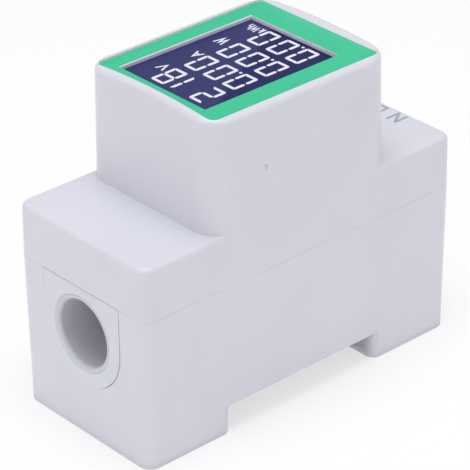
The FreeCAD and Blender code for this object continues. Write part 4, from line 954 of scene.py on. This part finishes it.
class Glyph(NamedTuple):
    """Letter of a unit or a terminal mark as flat outlines that only touch.

    The numbers in its methods are shares of its sizes.

    Attributes:
        w: Width.
        h: Height.
        t: Width of a stroke.
    """

    w: float
    h: float
    t: float

    EDGE = 0.7    # where a slanted stroke's middle line starts, in half strokes from the side
    PAST = 0.08   # how far it runs past the letter before it is cut level, in heights
    WAIST = 0.66  # height of a small letter, in heights
    BAR = 0.24    # level of the bar of an A, in heights

    def letter_v(self) -> list[np.ndarray]:
        """V as one band with level ends.

        Returns:
            Its outlines, anticlockwise.
        """
        w, h, t = self
        s, edge, past = t / 2, t / 2 * self.EDGE, h * self.PAST
        return [level_cut([(edge, h + past), (w / 2, s), (w - edge, h + past)], t, 0.0, h)]

    def letter_a(self) -> list[np.ndarray]:
        """A as an upturned V and a bar between its legs.

        Returns:
            Its outlines, anticlockwise.
        """
        w, h, t = self
        s, edge, past = t / 2, t / 2 * self.EDGE, h * self.PAST
        legs = level_cut([(edge, -past), (w / 2, h - s), (w - edge, -past)], t, 0.0, h)
        slope = (w / 2 - edge) / (h + past - s)
        low, high = h * self.BAR, h * self.BAR + t * 0.9
        near, far = (edge + slope * (v + past) + s * 1.02 for v in (low, high))
        return [legs, np.array([[near, low], [w - near, low], [w - far, high], [far, high]])]

    def letter_w(self) -> list[np.ndarray]:
        """W as one band with four strokes.

        Returns:
            Its outlines, anticlockwise.
        """
        w, h, t = self
        s, edge, top = t / 2, t * 0.3, h * 1.06
        path = [(edge, top), (w * 0.27, s), (w / 2, h - s), (w * 0.73, s), (w - edge, top)]
        return [level_cut(path, t, 0.0, h)]

    def letter_k(self) -> list[np.ndarray]:
        """k as a stem, an arm and a leg.

        Returns:
            Its outlines, anticlockwise.
        """
        w, h, t = self
        waist = h * self.WAIST
        stem = [[0.0, 0.0], [t, 0.0], [t, h], [0.0, h]]
        arm = [[t, waist * 0.36], [t * 1.8, waist * 0.58], [w, waist + t * 0.1],
               [w - t * 1.25, waist + t * 0.1], [t, waist * 0.72]]
        leg = [[w - t * 1.1, 0.0], [w, 0.0], [t * 1.95, waist * 0.68], [t * 1.25, waist * 0.46]]
        return [np.array(outline) for outline in (stem, arm, leg)]

    def letter_h(self) -> list[np.ndarray]:
        """h as a stem and an arch that runs down on the right.

        Returns:
            Its outlines, anticlockwise.
        """
        w, h, t = self
        s = t / 2
        waist = h * self.WAIST
        radius = (w - t) / 2
        arch = arc((w / 2, waist - s - radius), radius, 150.0, 0.0, 9)
        return [np.array([[0.0, 0.0], [t, 0.0], [t, h], [0.0, h]]), ribbon([*arch, (w - s, 0.0)], t)]

    def letter_n(self) -> list[np.ndarray]:
        """Capital N in one outline round both stems and the slanted bar."""
        w, h, t = self
        return [np.array([[0.0, 0.0], [t, 0.0], [t, h - t * 1.9], [w - t, 0.0], [w, 0.0], [w, h],
                          [w - t, h], [w - t, t * 1.9], [t, h], [0.0, h]])]

    def letter_l(self) -> list[np.ndarray]:
        """Capital L as one bent band."""
        w, h, t = self
        return [np.array([[0.0, 0.0], [w, 0.0], [w, t], [t, t], [t, h], [0.0, h]])]


def written(letters: tuple[tuple, ...]) -> list[np.ndarray]:
    """Outlines of letters, each given by shape, width, height, stroke, left edge and foot."""
    return [to_reader(outline, left, foot) for shape, width, height, stroke, left, foot in letters
            for outline in shape(Glyph(width, height, stroke))]


@dataclass
class Display(SubAssembly):
    """Digits, points and units of the reading, read from the terminal end, in millimetres.

    Attributes:
        level: Top of the glass.
        thickness: Height of a lit segment over it.
        sunk: How far it reaches into the glass.
        columns: Left edge of each column of digits, along X.
        rows: Top and bottom edge of each row, along Y.
        readings: What each row says.
        point_radius: Radius of a decimal point.
        point_across: Place of the points along X.
        points: Place of each point along Y.
        point_sides: Corners of a point's outline.
        letters: Shape, width, height, stroke, left edge and foot of each unit letter.
    """

    FINISHES = {
        "lcd_glass": GLASS, "backlight": LIGHT_GUIDE, "lcd_pins": TINNED, "display_board": LAMINATE,
        "controller_chip": CONTROLLER_EPOXY, "crystal": TINNED,
    }

    level: float = 63.4
    thickness: float = 0.02
    sunk: float = 0.02
    columns: tuple[float, ...] = (7.45, 2.21, -2.97)
    rows: tuple[Flat, ...] = ((-15.62, -9.48), (-7.78, -1.72), (0.0, 6.05), (7.69, 13.64))
    readings: tuple[str, ...] = ("218", "000", "000", "000")
    point_radius: float = 0.32
    point_across: float = 3.07
    points: tuple[float, ...] = (-2.2, 5.65, 13.3)
    point_sides: int = 24
    letters: tuple[tuple, ...] = (
        (Glyph.letter_v, 2.05, 2.6, 0.44, -7.3, -9.5),
        (Glyph.letter_a, 1.95, 2.55, 0.44, -7.2, -1.85),
        (Glyph.letter_w, 2.15, 3.05, 0.38, -8.2, 5.95),
        (Glyph.letter_k, 0.95, 2.0, 0.28, -7.05, 13.5),
        (Glyph.letter_w, 1.65, 2.45, 0.28, -8.15, 13.5),
        (Glyph.letter_h, 0.95, 2.0, 0.28, -9.95, 13.5),
    )

    def digits(self) -> list[np.ndarray]:
        """Outlines of every lit segment.

        Returns:
            One outline for each segment.
        """
        made = []
        for (top, bottom), reading in zip(self.rows, self.readings):
            for left, figure in zip(self.columns, reading):
                digit = SevenSegmentDigit(height=bottom - top)
                made += [to_reader(digit.outline(Segment[name]), left, bottom) for name in LIT[figure]]
        return made

    def dots(self) -> list[np.ndarray]:
        """Outlines of the decimal points."""
        return [arc((self.point_across, along), self.point_radius, 0.0, 360.0, self.point_sides + 1)[:-1]
                for along in self.points]

    def build(self, paint: Paint) -> None:
        """Build the lit parts of the display.

        Args:
            paint: Where the finishes come from.
        """
        for name, outlines in (("display_digits", self.digits()), ("display_points", self.dots()),
                               ("display_units", written(self.letters))):
            lit = prisms(outlines, self.level - self.sunk, self.level + self.thickness)
            paint.piece(mesh_piece(name, *lit), SEGMENT, Body.CASE)


@dataclass
class TerminalMarks:
    """Pad-printed letters over the two terminals, in millimetres.

    Attributes:
        level: Height of the step that they are printed on.
        thickness: How far the ink stands over it and soaks in.
        letters: Shape, width, height, stroke, left edge and foot of each letter.
    """

    level: float = 42.1
    thickness: float = 0.012
    letters: tuple[tuple, ...] = (
        (Glyph.letter_n, 2.75, 3.62, 0.58, 7.13, 37.52),
        (Glyph.letter_l, 2.15, 3.62, 0.58, 1.95, 37.52),
    )

    def build(self, paint: Paint) -> None:
        """Build both letters as one print."""
        ink = prisms(written(self.letters), self.level - self.thickness, self.level + self.thickness)
        paint.piece(mesh_piece("terminal_marks", *ink), PAD_INK, Body.CASE)


@dataclass
class LatchSpring:
    """Coil of round wire between the latch and the base, in millimetres.

    Attributes:
        outer: Outer diameter of the coil.
        wire: Diameter of the wire.
        turns: Number of turns.
        near: Near end along Y.
        far: Far end, which stays where it is.
        level: Height of the axis.
        closed_turns: Turns over which the pitch opens at each end.
        closed_pitch: Pitch of a closed turn, in wire widths.
        stations: Points along the wire.
        sides: Points round it.
        keep: Share of the length that is left when the latch is out; not used.
    """

    outer: float = 3.0
    wire: float = 0.45
    turns: float = 6.0
    near: float = 22.1
    far: float = 32.1
    level: float = 3.9
    closed_turns: float = 1.0
    closed_pitch: float = 1.05
    stations: int = 361
    sides: int = 12
    keep: float = 0.74

    def path(self) -> np.ndarray:
        """Middle line of the wire.

        It is a helix about Y whose turns are closed at both ends and evenly open between: the
        advance is the running sum of a rate that ramps up and down at both ends.

        Returns:
            One row of X, Y, Z for each station.
        """
        turn = np.linspace(0.0, self.turns, self.stations)
        room = self.far - self.near - self.wire
        edge = np.minimum(turn, self.turns - turn) / self.closed_turns
        share = np.clip(edge, 0.0, 1.0)
        opening = share ** 2 * (3.0 - 2.0 * share)
        closed = self.wire * self.closed_pitch
        total = ((opening[1:] + opening[:-1]) / 2 * np.diff(turn)).sum()
        rate = closed + opening * (room - closed * self.turns) / total
        steps = np.concatenate([[0.0], np.cumsum((rate[1:] + rate[:-1]) / 2 * np.diff(turn))])
        along = self.near + self.wire / 2 + steps * room / steps[-1]
        radius = (self.outer - self.wire) / 2
        angle = 2.0 * math.pi * turn
        return np.column_stack([radius * np.cos(angle), along, self.level + radius * np.sin(angle)])

    def build(self, paint: Paint) -> None:
        """Build the coil in place of the plain one.

        Args:
            paint: Where the finishes come from.
        """
        coil = mesh_piece("latch_coil", *tube_along(self.path(), self.wire / 2, self.sides), smooth=True)
        paint.piece(coil, SPRING_STEEL, Body.CASE)
        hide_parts("latch_spring")
        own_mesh(coil)


@dataclass
class ClampSpring:
    """Leaf spring of one terminal pole, bent from strip in the Y-Z plane, in millimetres.

    Attributes:
        pole: Letter of the pole.
        left: Edge of the strip along X.
        width: Width of the strip.
        strip: Thickness of it.
        corners: Middle line in Y, Z: up the back, over the top and down to the wire.
        bend: Radius of the middle line at its two bends.
        bend_points: Points along each bend.
        keep: Share of its depth that is left when the button is in; not used.
    """

    pole: str
    left: float
    width: float = 2.8
    strip: float = 0.3
    corners: tuple[Flat, ...] = ((30.15, 33.9), (30.15, 38.85), (33.7, 38.85), (32.15, 33.7))
    bend: float = 0.55
    bend_points: int = 9
    keep: float = 0.715

    def path(self) -> list[Flat]:
        """Middle line with each inner corner turned to an arc.

        The arc starts and ends at bend x tan(half the turn) from the corner, and its points are
        the circle about the centre on the corner's bisector.

        Returns:
            Its points in Y, Z.
        """
        line = np.array(self.corners)
        points = [line[0]]
        for before, corner, after in zip(line, line[1:], line[2:]):
            come = (corner - before) / np.linalg.norm(corner - before)
            leave = (after - corner) / np.linalg.norm(after - corner)
            half_turn = math.acos(float(come @ leave)) / 2
            inward = (leave - come) / np.linalg.norm(leave - come)
            centre = corner + inward * self.bend / math.cos(half_turn)
            ahead = (come + leave) / np.linalg.norm(come + leave)
            angle = np.linspace(-half_turn, half_turn, self.bend_points)[:, None]
            points.extend(centre + self.bend * (ahead * np.sin(angle) - inward * np.cos(angle)))
        return [tuple(point) for point in (*points, line[-1])]

    def build(self, paint: Paint) -> None:
        """Build the strip in place of the plain one.

        Args:
            paint: Where the finishes come from.
        """
        points, faces = prism(ribbon(self.path(), self.strip), self.left, self.left + self.width)
        leaf = mesh_piece(f"clamp_leaf_{self.pole}", points[:, [2, 0, 1]], faces)
        paint.piece(leaf, SPRING_STEEL, Body.CASE)
        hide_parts(f"clamp_spring_{self.pole}")
        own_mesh(leaf)


@dataclass
class SolderJoints:
    """Solder under the main board round every pin that comes through it, in millimetres.

    Attributes:
        board: Level of the board's underside.
        depth: How far the solder climbs down a pin.
        rows: First place, step, count, pin radius and foot radius of each row of pins.
        levels: Rings of points from tip to foot.
        sides: Points round each ring.
    """

    board: float = 30.9
    depth: float = 0.72
    rows: tuple[tuple[Flat, Flat, int, float, float], ...] = (
        ((13.4, -2.35), (0.0, 2.54), 6, 0.46, 0.84),
        ((5.9, 30.6), (0.0, 3.0), 2, 0.57, 1.05),
        ((0.9, 30.6), (0.0, 3.0), 2, 0.57, 1.05),
        ((-2.0, -18.05), (4.0, 0.0), 2, 0.51, 1.05),
        ((-6.5, -10.66), (0.0, 15.0), 2, 0.31, 0.9),
        ((2.85, -10.5), (3.5, 0.0), 2, 0.31, 0.9),
        ((-9.0, 13.28), (5.0, 0.0), 2, 0.31, 0.9),
        ((-9.49, 18.84), (0.0, 13.0), 2, 0.31, 0.9),
    )
    levels: int = 6
    sides: int = 20

    def joint(self, place: np.ndarray, pin: float, foot: float) -> Shell:
        """One joint as a turned shape.

        With s from zero at the board to one at the tip, the radius is
        pin + (foot - pin) x (1 - s) squared, which gives the hollow slope of wetted solder.

        Args:
            place: X and Y of the pin.
            pin: Radius at the tip.
            foot: Radius at the board.

        Returns:
            Points and faces.
        """
        climb = np.linspace(1.0, 0.0, self.levels)[:, None]
        radius = pin + (foot - pin) * (1.0 - climb) ** 2
        angle = np.linspace(0.0, 2.0 * math.pi, self.sides, endpoint=False)
        across, along = place[0] + radius * np.cos(angle), place[1] + radius * np.sin(angle)
        level = np.repeat(self.board - self.depth * climb, self.sides, axis=1)
        return skin(np.stack([across, along, level], axis=-1))

    def build(self, paint: Paint) -> None:
        """Build all joints as one piece.

        Args:
            paint: Where the finishes come from.
        """
        parts = [self.joint(np.array(first) + k * np.array(step), pin, foot)
                 for first, step, count, pin, foot in self.rows for k in range(count)]
        paint.piece(mesh_piece("solder_joints", *join(parts), smooth=True), SOLDER, Body.CASE)


@dataclass
class Housing(SubAssembly):
    """Case shells, faceplate, cable tube and latch: the outside that is handled.

    Sizes are in millimetres. The lap is the inner half of the shells' joint, which nearly fills
    the seam from inside. It stops at the two end plates, where the seam is deep and dark.

    Attributes:
        half_width: Half the case across.
        half_length: Half the case along.
        corner: Radius of its upright corners.
        seam: Height of the seam's middle.
        lap_inset: How far the lap lies behind the outside.
        lap_depth: How deep it is.
        lap_height: How high it is.
        plate_half: Half the width that it leaves free at each end.
        corner_points: Points round each corner.
    """

    FINISHES = {
        "base_housing": CASE, "top_cover": COVER, "cable_tube": TUBE, "end_plate": CASE,
        "rail_latch": CASE, "faceplate": LABEL,
    }

    half_width: float = 18.0
    half_length: float = 38.8
    corner: float = 2.6
    seam: float = 31.4
    lap_inset: float = 0.035
    lap_depth: float = 0.4
    lap_height: float = 0.09
    plate_half: float = 10.75
    corner_points: int = 10

    def lap_line(self) -> np.ndarray:
        """Middle line of the right half of the lap, from the near plate to the far one.

        Two quarter circles about the corners' centres, joined by straight runs.

        Returns:
            One row of X, Y for each point.
        """
        inset = self.lap_inset + self.lap_depth / 2
        radius = self.corner - inset
        across, along = self.half_width - self.corner, self.half_length - self.corner
        return np.vstack([
            [[self.plate_half, inset - self.half_length]],
            arc((across, -along), radius, -90.0, 0.0, self.corner_points),
            arc((across, along), radius, 0.0, 90.0, self.corner_points),
            [[self.plate_half, self.half_length - inset]]])

    def build(self, paint: Paint) -> None:
        """Build both halves of the lap as one piece.

        Args:
            paint: Where the finishes come from.
        """
        right = ribbon(self.lap_line().tolist(), self.lap_depth)
        left = right[::-1] * [-1.0, 1.0]
        lap = prisms([right, left], self.seam - self.lap_height / 2, self.seam + self.lap_height / 2)
        paint.piece(mesh_piece("seam_lap", *lap), CASE, Body.CASE)


class Terminal(SubAssembly):
    """Push-in terminal in the far end wall."""

    FINISHES = {
        "terminal_body": TERMINAL_PA,
        "terminal_button_n": BUTTON_PA, "contact_n": TINNED, "clamp_spring_n": SPRING_STEEL,
        "terminal_button_l": BUTTON_PA, "contact_l": TINNED, "clamp_spring_l": SPRING_STEEL,
    }


class Electronics(SubAssembly):
    """Main board with the supply, the metering chip and the current transformer."""

    FINISHES = {
        "main_board": LAMINATE, "link_pins": TINNED, "link_strips": CHIP_EPOXY, "ct_core": FERRITE,
        "ct_winding": TAPE, "ct_leads": PVC_LEAD, "latch_spring": SPRING_STEEL,
        "dropper_capacitor": FILM_BOX, "filter_capacitor": PVC_SLEEVE, "surge_varistor": DISC_COAT,
        "fuse_resistor": LACQUER, "bridge_rectifier": BRIDGE_EPOXY, "metering_chip": METERING_EPOXY,
    }


@dataclass
class Studio:
    """Camera, pale floor, white surround and soft lamps.

    Attributes:
        focal_px: Focal length in pixels of the photo.
        camera_mm: The camera's place.
        right: The photo's rightward direction.
        up: Its upward direction.
        back: The direction towards the viewer.
        floor_half_mm: Half the floor's side.
        floor_level_mm: Its height, a hair over the soles, which so get light from below as well.
        floor_reach_mm: How near a surface must be for the light under the floor to reach it.
        floor_points: Points along each side of it.
        floor_glow: How much lighter the camera sees the shadows on it.
        aim_mm: What the lamps are turned to.
        ambient: Strength of the light from all round.
        lamps: Name, place, size and power in millimetres and watts, and tint, of each soft box.
    """

    focal_px: float = 2715.8
    camera_mm: Spot = (333.182, -297.849, 280.239)
    right: Spot = (0.66878, 0.7434, -0.00934)
    up: Spot = (-0.36055, 0.33528, 0.8704)
    back: Spot = (0.65019, -0.57874, 0.49226)
    floor_half_mm: float = 1500.0
    floor_level_mm: float = 0.02
    floor_reach_mm: float = 1.5
    floor_points: int = 31
    floor_glow: float = 0.6
    aim_mm: Spot = (0.0, 0.0, 32.0)
    ambient: float = 0.64
    lamps: tuple[tuple[str, Spot, float, float, str], ...] = (
        ("lamp_over", (40.0, -40.0, 620.0), 320.0, 1.52, "#F8FDFF"),
        ("lamp_near_end", (20.0, -620.0, 240.0), 240.0, 0.25, "#FFFFFF"),
        ("lamp_side", (620.0, 20.0, 260.0), 240.0, 0.08, "#FFFDFF"),
    )

    def build_camera(self) -> None:
        """Place the pinhole camera that the photo was fitted with."""
        lens = bpy.data.cameras.new("camera")
        lens.sensor_fit = "HORIZONTAL"
        lens.sensor_width = SENSOR_WIDTH_MM
        lens.lens = self.focal_px * SENSOR_WIDTH_MM / PHOTO_WIDTH
        lens.clip_start = 0.01
        lens.clip_end = 20.0
        camera = add_object("camera", lens)
        columns = Matrix((self.right, self.up, self.back)).transposed()
        camera.matrix_world = Matrix.Translation(Vector(self.camera_mm) * MM) @ columns.to_4x4()
        bpy.context.scene.camera = camera

    def floor_material(self) -> Material:
        """Painted board, white and dull, its shadows seen a little lighter and its back not at all.

        Returns:
            The floor's material.
        """
        floor = Finish("painted_board_white", "case_plastic", "#FFFFFF", "#FEFEFE", 300.0, 0.9,
                       grain_mm=2.0, grain_depth_mm=0.001).material()
        graph = Graph(floor.node_tree)
        end = next(node for node in graph.tree.nodes if node.bl_idname == "ShaderNodeOutputMaterial")
        paint = end.inputs["Surface"].links[0].from_socket
        path = graph.add("LightPath")
        seen, length = path.outputs["Is Camera Ray"], path.outputs["Ray Length"]
        share = graph.add("Math", {1: self.floor_glow}, {0: seen}, operation="MULTIPLY")
        glow = graph.add("Emission", {"Color": linear("#FFFFFF"), "Strength": 1.0})
        mixed = graph.add("MixShader", links={0: share, 1: paint, 2: glow})
        below = graph.add("NewGeometry").outputs["Backfacing"]
        close = graph.add("Math", {1: self.floor_reach_mm * MM}, {0: length}, operation="LESS_THAN")
        light = graph.add("Math", {0: 1.0}, {1: seen}, operation="SUBTRACT")
        under = graph.add("Math", links={0: close, 1: light, 2: below}, operation="MULTIPLY_ADD")
        clear = graph.add("BsdfTransparent")
        cut = graph.add("MixShader", links={0: under, 1: mixed, 2: clear})
        graph.feed(cut, end.inputs["Surface"])
        return floor

    def build_floor(self) -> None:
        """Build the flat floor as an even grid in X and Y at one height."""
        line = np.linspace(-self.floor_half_mm, self.floor_half_mm, self.floor_points)
        across, along = np.meshgrid(line, line)
        level = np.full(across.size, self.floor_level_mm)
        points = np.column_stack([across.ravel(), along.ravel(), level])
        index = np.arange(across.size).reshape(across.shape)
        quads = np.stack([index[:-1, :-1], index[:-1, 1:], index[1:, 1:], index[1:, :-1]], axis=-1)
        floor = mesh_piece("floor", points, quads.reshape(-1, 4).tolist())
        floor.data.materials.append(self.floor_material())

    def build_surround(self) -> None:
        """Plain light all round, pure white where the camera looks past the floor."""
        world = bpy.data.worlds.new("surround")
        world.use_nodes = True
        world.node_tree.nodes.clear()
        graph = Graph(world.node_tree)
        eye = graph.add("LightPath").outputs["Is Camera Ray"]
        soft, white = (graph.add("Background", {"Color": linear("#FFFFFF"), "Strength": strength})
                       for strength in (self.ambient, 1.0))
        seen = graph.add("MixShader", links={0: eye, 1: soft, 2: white})
        graph.add("OutputWorld", links={"Surface": seen})
        bpy.context.scene.world = world

    def build_lamps(self) -> None:
        """Hang each square soft box and turn it to the middle of the meter."""
        target = Vector(self.aim_mm) * MM
        for name, place, size, power, tint in self.lamps:
            light = bpy.data.lights.new(name, "AREA")
            light.shape = "SQUARE"
            light.size = size * MM
            light.energy = power
            light.color = linear(tint)[:3]
            lamp = add_object(name, light)
            lamp.location = Vector(place) * MM
            lamp.rotation_euler = (lamp.location - target).to_track_quat("Z", "Y").to_euler()

    def build(self) -> None:
        """Build the whole studio."""
        self.build_camera()
        self.build_floor()
        self.build_surround()
        self.build_lamps()
        bpy.context.scene.view_settings.view_transform = "Standard"


def main() -> None:
    """Build everything in order."""
    logging.basicConfig(level=logging.INFO, format="%(name)s: %(message)s")
    paint = Paint()
    housing = Housing()
    housing.dress(paint)
    housing.build(paint)
    display = Display()
    display.dress(paint)
    display.build(paint)
    TerminalMarks().build(paint)
    Terminal().dress(paint)
    Electronics().dress(paint)
    SolderJoints().build(paint)
    LatchSpring().build(paint)
    ClampSpring("n", 4.5).build(paint)
    ClampSpring("l", -0.5).build(paint)
    Studio().build()


if __name__ == "__main__":
    main()
